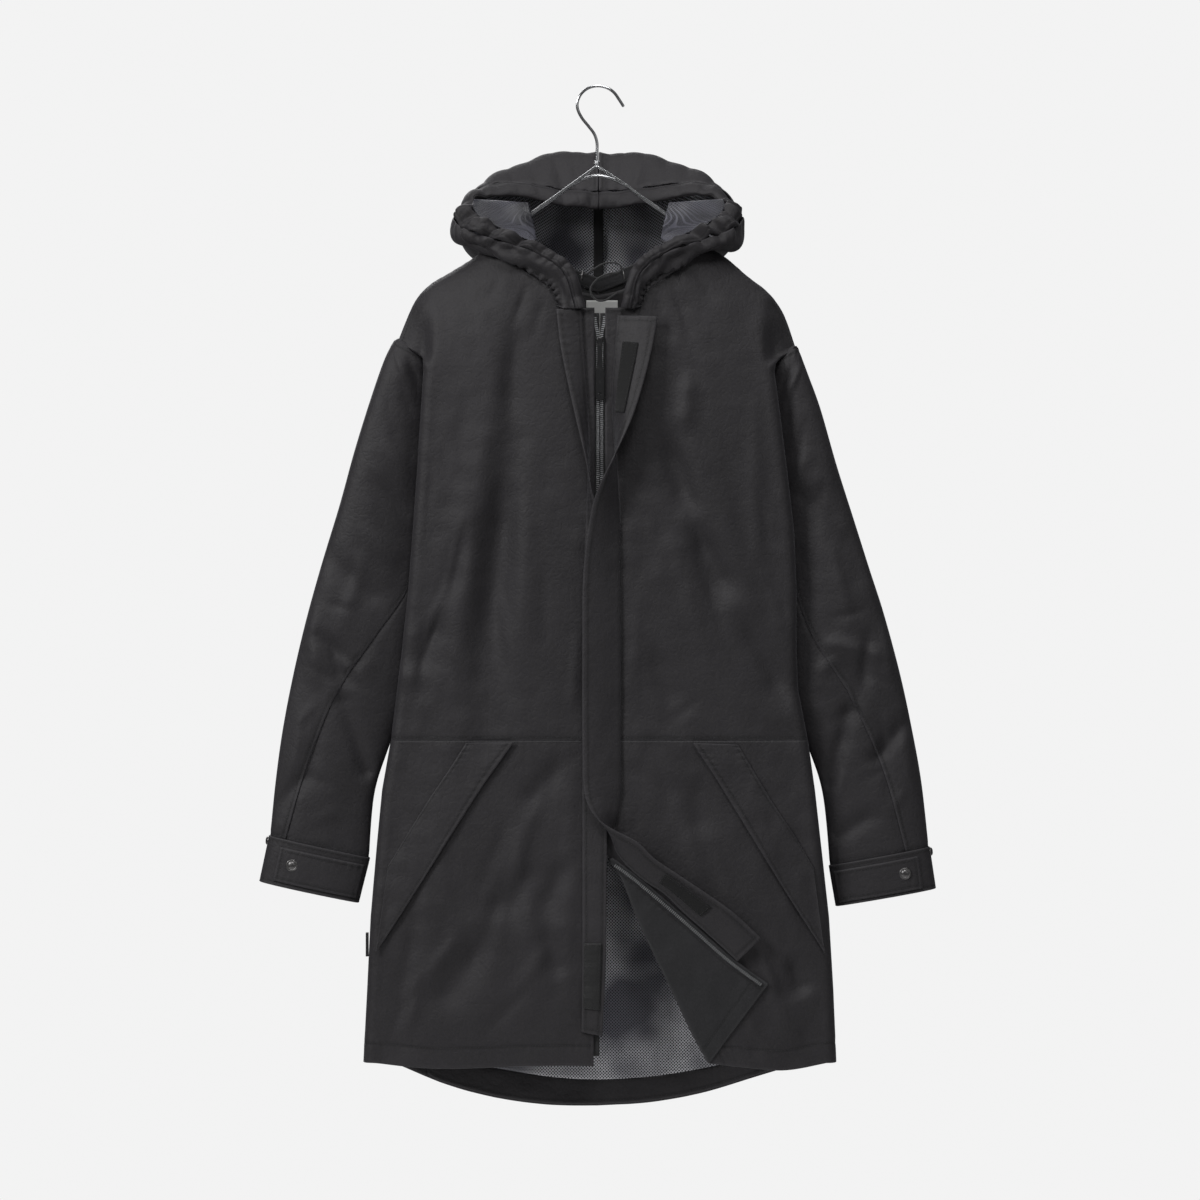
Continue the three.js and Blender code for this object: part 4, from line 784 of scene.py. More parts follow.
def fronts(shell):
    """The four front panels, sewn at the waist."""
    for name, sign in SIDES:
        centre = FRONT_TOP[name][0][0]
        waist_out = column(BODY, "z", WAIST_Z, name) - sign * LIP_RADIUS
        side = side_edge(name, sign, ARMHOLE_TOP[name], WAIST_Z + SEAM_GAP)
        end = side(np.zeros(1))[0]
        cells = patch(
            path2(FRONT_TOP[name][:-1] + [tuple(end)]),
            straight2((centre, WAIST_Z + SEAM_GAP), (waist_out, WAIST_Z + SEAM_GAP)),
            straight2((centre, FRONT_START_Z), (centre, WAIST_Z + SEAM_GAP)),
            side, steps(72), steps(176),
        )
        seams = [("foot", WAIST_SEAM, 0.30), ("top", 4.0, 0.30)]
        if sign > 0:
            seams.append(("start", 20.0, 0.26))
        grid = with_lip(cells, sign, -1)
        piece("front_upper_" + name, grid, CLOTH, shell, FRONT_WAY, seams, seed=sign)
        low = side_edge(name, sign, WAIST_Z - SEAM_GAP, PANEL_FOOT_Z)
        cells = patch(
            straight2((centre, WAIST_Z - SEAM_GAP), (waist_out, WAIST_Z - SEAM_GAP)),
            path2(FRONT_HEM[name][:-1] + [tuple(low(np.ones(1))[0])]),
            path2(CENTRE_LOWER[name]), low, steps(76), steps(132),
        )
        seams = [("foot", HEM_WIDE, 0.34), ("top", 1.2, 0.24)]
        if sign > 0:
            seams.append(("start", 19.0, 0.2))
        grid = with_lip(cells, sign, -1)
        piece("front_lower_" + name, grid, CLOTH, shell, FRONT_WAY, seams, seed=sign + 3)


def back(shell, net):
    """The back in one piece, the net lining that shows inside it and the facing along its hem."""
    halves = []
    for name, sign in SIDES:
        side = side_edge(name, sign, ARMHOLE_TOP[name], PANEL_FOOT_Z)
        cells = patch(
            path2(BACK_TOP[name][:-1] + [tuple(side(np.zeros(1))[0])]),
            path2(BACK_HEM[name][:-1] + [tuple(side(np.ones(1))[0])]),
            straight2(*BACK_MIDDLE), side, steps(64), steps(230),
        )
        halves.append(with_lip(cells, sign, 1))
    grid = np.concatenate([halves[0][1:][::-1], halves[1]])
    seams = [("foot", HEM_WIDE, 0.34), ("top", 4.0, 0.26)]
    piece("back_panel", grid, CLOTH, shell, BACK_WAY, seams, seed=5)
    top = path2(FACING_TOP)
    ends = (straight2(FACING_TOP[0], FACING_LOW[0]), straight2(FACING_TOP[-1], FACING_LOW[-1]))
    cells = patch(top, path2(FACING_LOW), *ends, steps(150), steps(12))
    x, z = cells[..., 0], cells[..., 1]
    grid = raised(x, back_y(x, z) - FACING_IN, z)
    seams = [("top", 2.5, 0.3), ("foot", 3.5, 0.3)]
    piece("back_hem_facing", grid, CLOTH, shell, FRONT_WAY, seams, seed=6)
    below = lambda s: top(s) + np.array([0.0, 0.6])
    corners = [(sign * LINING_HALF, LINING_TOP) for sign in (-1, 1)]
    ends = [straight2(at, below(np.full(1, k))[0]) for k, at in enumerate(corners)]
    cells = patch(straight2(*corners), below, *ends, steps(110), steps(90))
    x, z = cells[..., 0], cells[..., 1]
    slack = LINING_SLACK * np.sin(x / 15 + 0.9 * np.sin(z / 42)) * smooth((LINING_TOP - 20 - z) / 120)
    grid = raised(x, back_y(x, z) - LINING_OFF - slack, z)
    # The back lining takes the lit copy of the net, painted bright for the light inside the coat.
    piece("back_lining", grid, LINING, net, FRONT_WAY, seed=7)


def sleeve_point(rows, v, turn, grow=0.0, inner=None):
    """A point of a sleeve: a rounded oblong between its outer and inner fold, flatter at the inner one."""
    get = {key: along(rows[key], v) for key in ("ox", "oz", "ix", "iz", "deep")}
    sign = np.sign(get["ox"])
    sides = [column(BODY, "z", get["iz"], name) for name in ("left", "right")]
    fold = np.where(sign < 0, *sides)
    beside = np.abs(fold) - lip_radius(get["iz"]) + BESIDE_BODY
    ix = sign * np.maximum(beside, np.abs(get["ix"]))
    c = np.cos(turn)
    s = np.sin(turn)
    across = np.sign(c) * np.abs(c) ** (2 / SLEEVE_SQUARE)
    out = np.sign(s) * np.abs(s) ** (2 / SLEEVE_SQUARE)
    half = np.stack([get["ox"] - ix, get["oz"] - get["iz"]], axis=-1) / 2
    stretch = 1 + grow / np.linalg.norm(half, axis=-1)
    x = (get["ox"] + ix) / 2 + half[..., 0] * across * stretch
    z = (get["oz"] + get["iz"]) / 2 + half[..., 1] * across * stretch
    depth = folds_at(SLEEVE_FOLDS, x, z) + folds_at(SLEEVE_CREASES, x, z, CREASE_TAPER)
    depth = depth + 0.7 * rumple(x, z, 2.1)
    folds = np.where(out < 0, depth * -out, -0.6 * out * rumple(x, z, 3.3))
    if inner is None:
        inner = np.interp(v, *INNER_SHARES)
    fuller = lerp(inner, 1, smooth((1 + across) / 1.3))
    return raised(x, SLEEVE_Y + out * (get["deep"] * fuller + grow) - folds, z)


def split_turn(rows, v):
    """The angle round the sleeve at which its top piece ends."""
    share = 2 * along(rows["split"], v) - 1
    return np.arccos(np.sign(share) * np.abs(share) ** (SLEEVE_SQUARE / 2))


UNDER_START = 8 / 18
TUCK_UP = 5.0
TUCK_IN = 3.2
UNDER_LAP = 3.4
UNDER_SUNK = 2.0


def tucked(rows, grid):
    """A sleeve's upper edge, run on a little way under the shoulder cloth."""
    middle = raised((rows["ox"][0] + rows["ix"][0]) / 2, SLEEVE_Y, (rows["oz"][0] + rows["iz"][0]) / 2)
    way = TUCK_UP * unit(grid[:, 0] - grid[:, 1]) + TUCK_IN * unit(middle - grid[:, 0])
    more = np.stack([grid[:, 0] + way * share for share in (1.0, 0.5)], axis=1)
    return np.concatenate([more, grid], axis=1)


def sleeves(shell):
    """Each sleeve's top piece, and the under piece that starts below the armhole."""
    for name, sign in SIDES:
        rows = SLEEVES[name]
        wide = lambda v: np.maximum(14, np.abs(along(rows["ox"] - rows["ix"], v)) / 2)
        v = steps(190)[None]
        end = split_turn(rows, v) - 1.7 * SEAM_GAP / wide(v)
        grid = tucked(rows, sleeve_point(rows, v, lerp(-end, end, steps(84)[:, None])))
        around = grid - grid.mean(axis=0, keepdims=True)
        seams = [("top", 8.5, 0.4), ("foot", 2.5, 0.5), ("start", 4.0, 0.35)]
        piece("sleeve_top_" + name, grid, CLOTH, shell, around, seams, seed=8 + sign)
        v = lerp(UNDER_START, 1, steps(110))[None]
        end = split_turn(rows, v) - UNDER_LAP / wide(v)
        s = steps(52)[:, None]
        sunk = -UNDER_SUNK * (1 - smooth(np.minimum(s, 1 - s) / 0.07))
        grid = sleeve_point(rows, v, lerp(end, 2 * math.pi - end, s), sunk)
        half_x = along(rows["ox"] + rows["ix"], v) / 2
        half_z = along(rows["oz"] + rows["iz"], v) / 2
        around = grid - raised(half_x, SLEEVE_Y, half_z)
        piece("sleeve_under_" + name, grid, CLOTH, shell, around, [("foot", 2.5, 0.5)], seed=11 + sign)


TAB_OFF = 2.5
TAB_FROM = 0.16
TAB_TO = 0.72
CUFF_FULLER = 1.2


def cuff_point(name, share, v, off=0.0):
    """A point of a cuff, which runs on straight from the sleeve's last ring."""
    last = {key: values[-1] for key, values in SLEEVES[name].items()}
    end = {**last, **CUFFS[name]}
    rows = {key: np.array([last[key] - (1 if key in ("oz", "iz") else 0), end[key]]) for key in last}
    return sleeve_point(rows, v, share * 2 * math.pi, CUFF_FULLER + off, CUFF_INNER_SHARE)


def cuffs(shell):
    """The cuff bands and the tabs across their fronts."""
    for name, sign in SIDES:
        grid = cuff_point(name, steps(120)[:, None], steps(26)[None])
        around = grid - grid.mean(axis=0, keepdims=True)
        seams = [("top", 3.0, 0.22), ("foot", 3.5, 0.22)]
        piece("cuff_" + name, grid, BAND, shell, around, seams, ring=True, seed=14 + sign)
        share = 0.5 + 0.5 * lerp(TAB_FROM, TAB_TO, steps(48))[:, None]
        tab = TABS[name]
        grid = cuff_point(name, share, lerp(tab["upper"], tab["lower"], steps(20))[None], TAB_OFF)
        seams = [("top", 3.5, 0.2), ("foot", 3.5, 0.2), ("end", 3.5, 0.2)]
        piece("cuff_tab_" + name, grid, CLOTH, shell, FRONT_WAY, seams, seed=16 + sign)


def off_front(cells, near, rise, wave, turns):
    """A patch that stands off the front: near its seam, higher at its free edge, and slightly wavy."""
    x, z = cells[..., 0], cells[..., 1]
    out = steps(cells.shape[1] - 1)[None]
    lift = near + rise * out + wave * np.sin(steps(cells.shape[0] - 1) * turns)[:, None] * out
    return raised(x, front_y(x, z) - lift, z)


def pocket_flaps(shell):
    """The slanted flaps over the pockets, sewn along their inner edge."""
    for name, sign in SIDES:
        sewn, free = POCKETS[name]["sewn"], POCKETS[name]["free"]
        ends = [straight2(sewn[k], free[k]) for k in (0, -1)]
        cells = patch(path2(sewn), path2(free), *ends, steps(130), steps(30))
        seams = [("top", 2.5, 0.3), ("foot", 5.5, 0.3)]
        grid = off_front(cells, 2.4, 2.7, 0.5, 19)
        piece("pocket_flap_" + name, grid, CLOTH, shell, FRONT_WAY, seams, seed=18 + sign)


FLAP_OFF = 3.2
FLAP_TURN_Z = -840
FLAP_TURN_TALL = 50
FLAP_FULL_WIDE = 45
FLAP_TURN_OFF = 7
FLAP_TURN_LOWER = 0.45
FLAP_REST = 3
UNDER_FLAP_OFF = 2.9


def flap_point(v, s):
    """The storm flap: its seam follows the front, and its free edge stands off by its lift."""
    get = {key: along(STORM_FLAP[key], v) for key in STORM_FLAP}
    x = lerp(get["sx"], get["fx"], s)
    z = lerp(get["sz"], get["fz"], s)
    turned = smooth((FLAP_TURN_Z - get["sz"]) / FLAP_TURN_TALL)
    seam = front_y(get["sx"], get["sz"])
    under = lerp(seam, front_y(x, z), np.abs(get["fx"] - get["sx"]) / FLAP_FULL_WIDE * s)
    lift = get["lift"] * np.sin(s * math.pi / 2) * (1 - FLAP_TURN_LOWER * turned)
    y = np.minimum(under, seam + FLAP_REST) - FLAP_OFF - turned * FLAP_TURN_OFF - lift
    return raised(x, y, z)


def under_flap_point(v, s):
    """The under flap: its seam follows the front, and its free edge stands off by its lift."""
    get = {key: along(UNDER_FLAP[key], v) for key in UNDER_FLAP}
    x = lerp(get["sx"], get["fx"], s)
    z = lerp(get["sz"], get["fz"], s)
    seam = front_y(get["sx"], z)
    return raised(x, seam - UNDER_FLAP_OFF - get["lift"] * np.sin(s * math.pi / 2), z)


def flaps(shell):
    """The storm flap and the under flap, stitched along both long edges."""
    grid = flap_point(steps(300)[None], steps(22)[:, None])
    seams = [("start", 2.5, 0.22), ("end", 5.5, 0.26), ("foot", 5.5, 0.2), ("top", 5.5, 0.2)]
    piece("storm_flap", grid, CLOTH, shell, FRONT_WAY, seams, seed=20)
    grid = under_flap_point(steps(260)[None], steps(14)[:, None])
    seams = [("start", 4.5, 0.2), ("end", 4.5, 0.2), ("foot", 5.0, 0.2)]
    piece("under_flap", grid, CLOTH, shell, FRONT_WAY, seams, seed=21)


def turned_corner(shell):
    """The lower corner of the right front, turned back to show its facing and its zip tape."""
    fold, edge = path2(CORNER["fold"]), path2(CORNER["zip"])
    ends = [straight2(fold(np.full(1, k))[0], edge(np.full(1, k))[0]) for k in (0.0, 1.0)]
    cells = patch(fold, edge, *ends, steps(120), steps(44))
    seams = [("foot", 10.0, 0.25), ("end", 16.0, 0.3)]
    grid = off_front(cells, 2.3, 3.2, 0.9, 11)
    piece("front_corner_facing", grid, CLOTH, shell, FRONT_WAY, seams, seed=22)


ZIP_TOP = -262
ZIP_BOTTOM = -876
ZIP_FOOT = -1110
ZIP_TAPE_WIDE = 14
ZIP_TAPE_OFF = 2.7
ZIP_HALF = 0.7
ZIP_TAPE_THICK = 1.0
TOOTH_PITCH = 2.3
TOOTH_SECTIONS = ((0.0, 2.0, 0.75), (2.2, 1.6, 0.55))
TEETH_CLOSED = 2.2
TEETH_PARTED = 3.2
SLIDER_TOP = -289
CORNER_EDGE_SHIFT = np.array([-3.0, -4.0])
CORNER_TEETH_OFF = 5.5


def zip_tape_line(x, z):
    """Where the zip's tapes lie, just behind the front."""
    return raised(x, front_y(x, z) + ZIP_TAPE_OFF, z)


def zip_tapes(tape):
    """The two tapes of the zip. The right one ends where the corner turns back."""
    for name, x0, x1, foot in (
        ("left", ZIP_X - ZIP_TAPE_WIDE, ZIP_X - ZIP_HALF, ZIP_FOOT),
        ("right", ZIP_X + ZIP_HALF, ZIP_X + ZIP_TAPE_WIDE, ZIP_BOTTOM),
    ):
        x = lerp(x0, x1, steps(8))[:, None]
        z = lerp(ZIP_TOP, foot, steps(180))[None]
        grid = zip_tape_line(x, z)
        piece("zip_tape_" + name, grid, ZIP_TAPE_THICK, tape, FRONT_WAY, seed=24)


def teeth_along(line, up, way_out, pitch):
    """Rows of zip teeth: wedges that narrow to the front, set square to a line."""
    far = lengths(line[:, None], 0)[:, 0]
    at = np.arange(pitch / 2, far[-1], pitch)
    p = np.stack([np.interp(at, far, line[:, k]) for k in range(3)], axis=-1)
    q = np.stack([np.interp(at + 0.3, far, line[:, k]) for k in range(3)], axis=-1)
    down = unit(q - p)
    out = np.broadcast_to(way_out, p.shape)
    across = unit(np.cross(down, out))
    corners = []
    for depth, wide, tall in TOOTH_SECTIONS:
        for a, b in ((-1, -1), (1, -1), (1, 1), (-1, 1)):
            corners.append(p + out * (depth + up) + across * a * wide + down * b * tall)
    points = np.stack(corners, axis=1).reshape(-1, 3)
    base = np.array([(0, 3, 2, 1), (4, 5, 6, 7), (0, 1, 5, 4), (1, 2, 6, 5), (2, 3, 7, 6), (3, 0, 4, 7)])
    faces = (8 * np.arange(len(p))[:, None, None] + base[None]).reshape(-1, 4)
    return points, faces


def zip_teeth(metal):
    """Teeth down both tapes, parted above the slider, and along the edge of the turned corner."""
    z = np.linspace(ZIP_TOP - 4, ZIP_BOTTOM, 260)
    spread = TEETH_CLOSED + TEETH_PARTED * smooth((z - SLIDER_TOP) / 20)
    rows = []
    for sign in (-1, 1):
        line = zip_tape_line(ZIP_X + sign * spread, z + (TOOTH_PITCH / 2 if sign > 0 else 0))
        rows.append(teeth_along(line, 0.5, FRONT_WAY, TOOTH_PITCH))
    edge = CORNER_EDGE_SHIFT + along(CORNER["zip"], np.linspace(0.06, 0.97, 200))
    y = front_y(edge[:, 0], edge[:, 1]) - CORNER_TEETH_OFF
    rows.append(teeth_along(raised(edge[:, 0], y, edge[:, 1]), 0.8, FRONT_WAY, TOOTH_PITCH))
    points = []
    faces = []
    for p, f in rows:
        faces.append(f + sum(len(q) for q in points))
        points.append(p)
    made = add_mesh("zip_teeth", np.concatenate(points), np.concatenate(faces), metal)
    made.data.shade_flat()
    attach(made, "parka")


RIM_HALF_WIDTH = 11
RIM_FRONT_HALF = 5.5
RIM_CLOTH = 1.2
RIM_HALF_THICK = 4.5
HOOD_SHIFT = 11
LINING_IN = 10
HOOD_CORE_SHARE = 0.45
HOOD_CORE_Y = 50
HOOD_CORE_Z = -165


def hood_point(sign, round_share, v):
    """A point of the hood: round_share from the front to the back, v from the neck to the opening."""
    round_share, v = np.broadcast_arrays(np.asarray(round_share, float), np.asarray(v, float))
    rows = along(HOOD, round_share)
    place = np.clip(v, 0, 1) * 4
    i = np.minimum(3, place.astype(int))
    f = (place - i)[..., None]
    pick = lambda k: np.take_along_axis(rows, np.clip(i + k, 0, 4)[..., None, None], axis=-2)[..., 0, :]
    a, b, c, d = pick(-1), pick(0), pick(1), pick(2)
    p = 0.5 * (2 * b + (c - a) * f + (2 * a - 5 * b + 4 * c - d) * f**2 + (3 * b - a - 3 * c + d) * f**3)
    shift = HOOD_SHIFT * v * (1 - smooth(round_share * 2)) if sign > 0 else 0
    return raised(-sign * p[..., 0] + shift, p[..., 1], p[..., 2])


def towards_core(p, off):
    """Points of the hood moved inwards, towards the axis inside it."""
    core = raised(HOOD_CORE_SHARE * p[..., 0], HOOD_CORE_Y, HOOD_CORE_Z)
    off = np.broadcast_to(off, p.shape[:-1])[..., None]
    return p + unit(core - p) * off


def from_opening(sign, round_share, distance):
    """The place on the hood's profile that lies a distance in from the opening."""
    v = np.linspace(1, 0.02, 246)
    line = hood_point(sign, round_share[:, None], v[None])
    past = np.linalg.norm(line - line[:, :1], axis=-1) >= np.reshape(distance, (-1, 1))
    return np.where(past.any(axis=1), v[np.argmax(past, axis=1)], 0.02)


GATHER_HIGH = 1.6
NECK_GATHER = 3.0
CREST_FOLD = 1.6
RIM_GAP = 1.2
RIM_STITCH_AT = 0.55
PLEAT_SHARE = 0.34
PLEAT_RANGE = (0.5, 1.9)
LINING_FROM = 0.66
LINING_FOOT = 0.16
SEAM_TAPE_IN = 6.8
SEAM_TAPE_HALF = 5.5
SEAM_TAPE_THICK = 1.0


def gathers_at(r, t=0.0):
    """Uneven gathers along the rim: waves whose length and height change from place to place."""
    w = 2 * math.pi * r
    wide = 2.4 * np.abs(np.sin(6.5 * w + 1.2 * np.sin(2.3 * w + 0.4) + 0.4 * t)) - 1.4
    narrow = 2.4 * np.abs(np.sin(12 * w + 1.1 * np.sin(3.9 * w + 1.2) - 0.3 * t)) - 1.4
    patch = 0.5 + 0.5 * np.sin(3.1 * w + 0.9 * np.sin(5.2 * w))
    return wide * lerp(0.35, 1.0, patch) + 0.6 * narrow * (1 - patch)


def curl(r):
    """How strongly the rim curls: most at the sides of the hood, least at the back's middle."""
    return 0.6 + 2.3 * np.exp(-(((r - 0.5) / 0.14) ** 2)) + 0.6 * np.exp(-(((r - 0.28) / 0.1) ** 2))


def rim_half(r):
    """Half the casing's width: narrow at the front, full at the sides and the back."""
    return lerp(RIM_FRONT_HALF, RIM_HALF_WIDTH, smooth((r - 0.28) / 0.24))


def hood(shell, net, shaded_net, band):
    """The hood's halves, its gathered rim, its net lining and the lapels over the wire."""
    for name, sign in SIDES:
        r = steps(150)
        end = from_opening(sign, r, 2 * rim_half(r) + RIM_GAP)
        t = steps(60)
        grid = hood_point(sign, r[:, None], t[None] * end[:, None])
        around = grid - raised(HOOD_CORE_SHARE * grid[..., 0], HOOD_CORE_Y, HOOD_CORE_Z)
        n = normals(grid)
        n = n * np.sign((n * around).sum(axis=-1).mean())
        near_rim = smooth((t[None] - 0.62) / 0.38) * curl(r[:, None])
        near_neck = smooth((0.55 - t[None]) / 0.5) * smooth((0.46 - r[:, None]) / 0.14)
        gathers = GATHER_HIGH * gathers_at(r[:, None], t[None]) * near_rim
        gathers += NECK_GATHER * gathers_at(1.9 * r[:, None] + 0.2, 2.5 * t[None]) * near_neck
        side = np.exp(-(((r[:, None] - 0.48) / 0.2) ** 2))
        slump = np.sin(r[:, None] * 17 + t[None] * 7 + sign) + 0.7 * np.sin(r[:, None] * 37 - t[None] * 9)
        slump = slump * lerp(1.5, 4.2, side) * np.sin(t[None] * math.pi)
        crest = smooth((r[:, None] - 0.6) / 0.1) * smooth((t[None] - 0.4) / 0.3)
        slump += CREST_FOLD * np.sin(r[:, None] * 41 + 11 * t[None]) * crest
        grid = grid + n * (gathers + slump)[..., None] * smooth(t[None] / 0.06)[..., None]
        seams = [("end", 3.5, 0.3), ("top", 3.0, 0.35)]
        piece("hood_shell_" + name, grid, CLOTH, shell, around, seams, seed=26 + sign)
        rim(name, sign, shell)
        t = lerp(LINING_FROM, 1, steps(60))[:, None]
        v = lerp(LINING_FOOT, 0.76, steps(44))[None]
        slack = 1.6 * np.sin(t * 31 + 4 * v + sign) + 1.1 * np.sin(t * 17 - 9 * v)
        slack = slack * smooth((v - LINING_FOOT) / 0.3)
        grid = towards_core(hood_point(sign, t, v), LINING_IN + slack)
        # The hood's lining takes the lit copy of the net, painted bright.
        piece("hood_lining_" + name, grid, LINING, net, FRONT_WAY, seed=28)
        grid = lapel_point(sign, steps(36)[:, None], steps(40)[None])
        # The lapels take the shaded copy of the net, painted dark for the shade on them.
        piece("hood_lapel_" + name, grid, LINING, shaded_net, FRONT_WAY, seed=29)
    v = lerp(LINING_FOOT, 0.74, steps(60))
    p = towards_core(hood_point(-1, np.ones(len(v)), v), LINING_IN + SEAM_TAPE_IN)
    x = lerp(-SEAM_TAPE_HALF, SEAM_TAPE_HALF, steps(8))[:, None]
    grid = raised(x, p[None, :, 1], p[None, :, 2])
    piece("hood_seam_tape", grid, SEAM_TAPE_THICK, band, FRONT_WAY, seed=30)


def rim(name, sign, shell):
    """The casing round the opening: a flattened tube that the drawcord gathers into small pleats."""
    r = steps(260)
    edge = hood_point(sign, r, 1)
    half = rim_half(r)
    back_at = hood_point(sign, r, from_opening(sign, r, 2 * half))
    inward = unit(edge - back_at)
    middle = edge - inward * half[:, None]
    after = hood_point(sign, np.minimum(1, r + 0.01), 1)
    before = hood_point(sign, np.maximum(0, r - 0.01), 1)
    over = unit(np.cross(inward, unit(after - before)))
    turn = np.linspace(0, 2 * math.pi, 33)[:, None]
    wave = gathers_at(r[None], 0.9 * np.cos(turn))
    pleat = np.clip(1 + PLEAT_SHARE * curl(r[None]) * wave, *PLEAT_RANGE)
    middle = middle + over * (2.4 * curl(r) * gathers_at(0.7 * r + 0.1))[:, None]
    stitch_dip = 1 - 0.25 * np.exp(-((np.cos(turn) + RIM_STITCH_AT) / 0.12) ** 2)
    wide = half * (1 + 0.06 * curl(r[None]) * gathers_at(r[None] + 0.3)) * np.cos(turn)
    thick = RIM_HALF_THICK * pleat * stitch_dip * np.sin(turn)
    grid = middle[None] + inward[None] * wide[..., None] + over[None] * thick[..., None]
    # The seam mark paints shade along the casing's stitch line.
    seam = np.exp(-((np.cos(turn) + RIM_STITCH_AT) / 0.08) ** 2)
    # The worn mark here makes the casing lighter and greyer on the crests of its pleats.
    marks = {"seam": seam * np.ones_like(wave), "worn": 0.2 * np.maximum(0, wave)}
    made = wall("hood_rim_%s_cloth" % name, grid, RIM_CLOTH, shell, marks, True)
    finish_piece(made, "hood_rim_" + name)


LAPEL_TOP = 0.62
LAPEL_FOOT = 0.3
LAPEL_SEAM = 1.2
LAPEL_BOW = 2.2
NECK_BAND_TALL = 16
NECK_BAND_IN = 3.2
NECK_BAND_LEAN = 1.5
LABEL_X = (-14, 22)
LABEL_Z = (-243, -288)
LABEL_IN = 2.2
LABEL_THICK = 0.9


def lapel_point(sign, s, t):
    """The side of the hood turned in over the wire: from the opening's edge to the fold."""
    s, t = np.broadcast_arrays(s, t)
    edge = hood_point(sign, lerp(LAPEL_TOP, LAPEL_FOOT, t), 1)
    fold = raised(-sign * along(LAPEL["fx"], t), along(LAPEL["fy"], t), along(LAPEL["fz"], t))
    share = lerp(LAPEL_SEAM / np.linalg.norm(edge - fold, axis=-1), 1, s)
    bow = LAPEL_BOW * np.sin(s * math.pi) * np.sin(t * math.pi)
    return lerp(edge, fold, share[..., None]) - bow[..., None] * np.array([0.0, 1.0, 0.0])


def neck_inside(shell, label):
    """The band over the back neck seam, and the plain label under it."""
    u = np.linspace(-1, 1, 73)
    left = hood_point(-1, 1 - 0.3 * np.abs(u), 0)
    right = hood_point(1, 1 - 0.3 * np.abs(u), 0)
    p = np.where((u < 0)[:, None], left, right)
    p[:, 0] = np.where(u == 0, 0, p[:, 0])
    t = steps(12)[None]
    y = p[:, None, 1] - NECK_BAND_IN - NECK_BAND_LEAN * t
    grid = raised(p[:, None, 0], y, p[:, None, 2] + 1 + NECK_BAND_TALL * t)
    seams = [("top", 3, 0.15), ("foot", 3, 0.15)]
    piece("neck_facing", grid, CLOTH, shell, FRONT_WAY, seams, seed=31)
    x = lerp(*LABEL_X, steps(24))[:, None]
    z = lerp(*LABEL_Z, steps(30))[None]
    grid = raised(x, back_y(x, z) - LABEL_IN, z)
    piece("neck_label", grid, LABEL_THICK, label, FRONT_WAY, seed=32)


def spaced(points, count):
    """A smooth curve through points, centripetal, in steps of even length."""
    p = np.asarray(points, float)
    p = np.concatenate([[2 * p[0] - p[1]], p, [2 * p[-1] - p[-2]]])
    line = []
    for k in range(1, len(p) - 2):
        a, b, c, d = p[k - 1 : k + 3]
        gaps = [max(1e-4, np.linalg.norm(q - r) ** 0.5) for q, r in ((b, a), (c, b), (d, c))]
        g0, g1, g2 = gaps
        m1 = ((b - a) / g0 - (c - a) / (g0 + g1) + (c - b) / g1) * g1
        m2 = ((c - b) / g1 - (d - b) / (g1 + g2) + (d - c) / g2) * g1
        t = np.linspace(0, 1, 25)[:-1, None]
        line.append(b + m1 * t + (3 * (c - b) - 2 * m1 - m2) * t**2 + (2 * (b - c) + m1 + m2) * t**3)
    line = np.concatenate(line + [p[-2:-1]])
    far = lengths(line[:, None], 0)[:, 0]
    at = np.linspace(0, far[-1], count + 1)
    return np.stack([np.interp(at, far, line[:, k]) for k in range(3)], axis=-1)


TUBE_CAPS = ((0.0, 0.35), (0.18, 0.75), (0.5, 0.95))


def tube(name, line, radius, sides, material):
    """A round bar along a line, in circles square to it, with its ends rounded off and closed."""
    way = unit(np.gradient(line, axis=0))
    side = np.zeros_like(way)
    start = np.cross(way[0], (0.0, 1.0, 0.0))
    side[0] = unit(start) if np.linalg.norm(start) > 0.1 else np.array([1.0, 0.0, 0.0])
    for k in range(1, len(line)):
        side[k] = unit(side[k - 1] - way[k] * np.dot(side[k - 1], way[k]))
    up = np.cross(way, side)
    rings = [(line[0] + way[0] * radius * (d - 0.5), 0, share) for d, share in TUBE_CAPS]
    rings += [(line[k], k, 1.0) for k in range(1, len(line) - 1)]
    rings += [(line[-1] - way[-1] * radius * (d - 0.5), -1, share) for d, share in TUBE_CAPS[::-1]]
    turn = np.linspace(0, 2 * math.pi, sides + 1)[:, None]
    grid = np.array([c + radius * r * (np.cos(turn) * side[k] + np.sin(turn) * up[k]) for c, k, r in rings])
    down = np.repeat(lengths(grid, 0).mean(axis=1)[:, None], sides + 1, axis=1)
    uv = np.stack([lengths(grid, 1), down], axis=-1)
    nu, nv = grid.shape[:2]
    points = np.concatenate([grid.reshape(-1, 3), grid[:1].mean(axis=1), grid[-1:].mean(axis=1)])
    uv = np.concatenate([uv.reshape(-1, 2), [[0, 0], [0, 0]]])
    first, last, foot = nu * nv, nu * nv + 1, (nu - 1) * nv
    fans = [(first, k + 1, k) for k in range(sides)]
    fans += [(last, foot + k, foot + k + 1) for k in range(sides)]
    faces = grid_faces(nu, nv).tolist() + [list(f) for f in fans]
    return add_mesh(name, points, faces, material, uv, welded=True)


def turned(name, profile, at, axis, material, sides=40):
    """A lathed piece: radius and height pairs turned about an axis through a point."""
    axis = unit(np.array(axis, float))
    helper = np.array([0.0, 0.0, 1.0]) if abs(axis[2]) < 0.9 else np.array([1.0, 0.0, 0.0])
    a = unit(np.cross(axis, helper))
    b = np.cross(axis, a)
    turn = np.linspace(0, 2 * math.pi, sides + 1)[None, :, None]
    r = np.array([p[0] for p in profile], float)[:, None, None]
    h = np.array([p[1] for p in profile], float)[:, None, None]
    grid = np.array(at, float) + h * axis + r * (np.cos(turn) * a + np.sin(turn) * b)
    uv = np.stack([lengths(grid, 0), lengths(grid, 1)], axis=-1)
    return add_mesh(name, grid, grid_faces(*grid.shape[:2]), material, uv, welded=True)


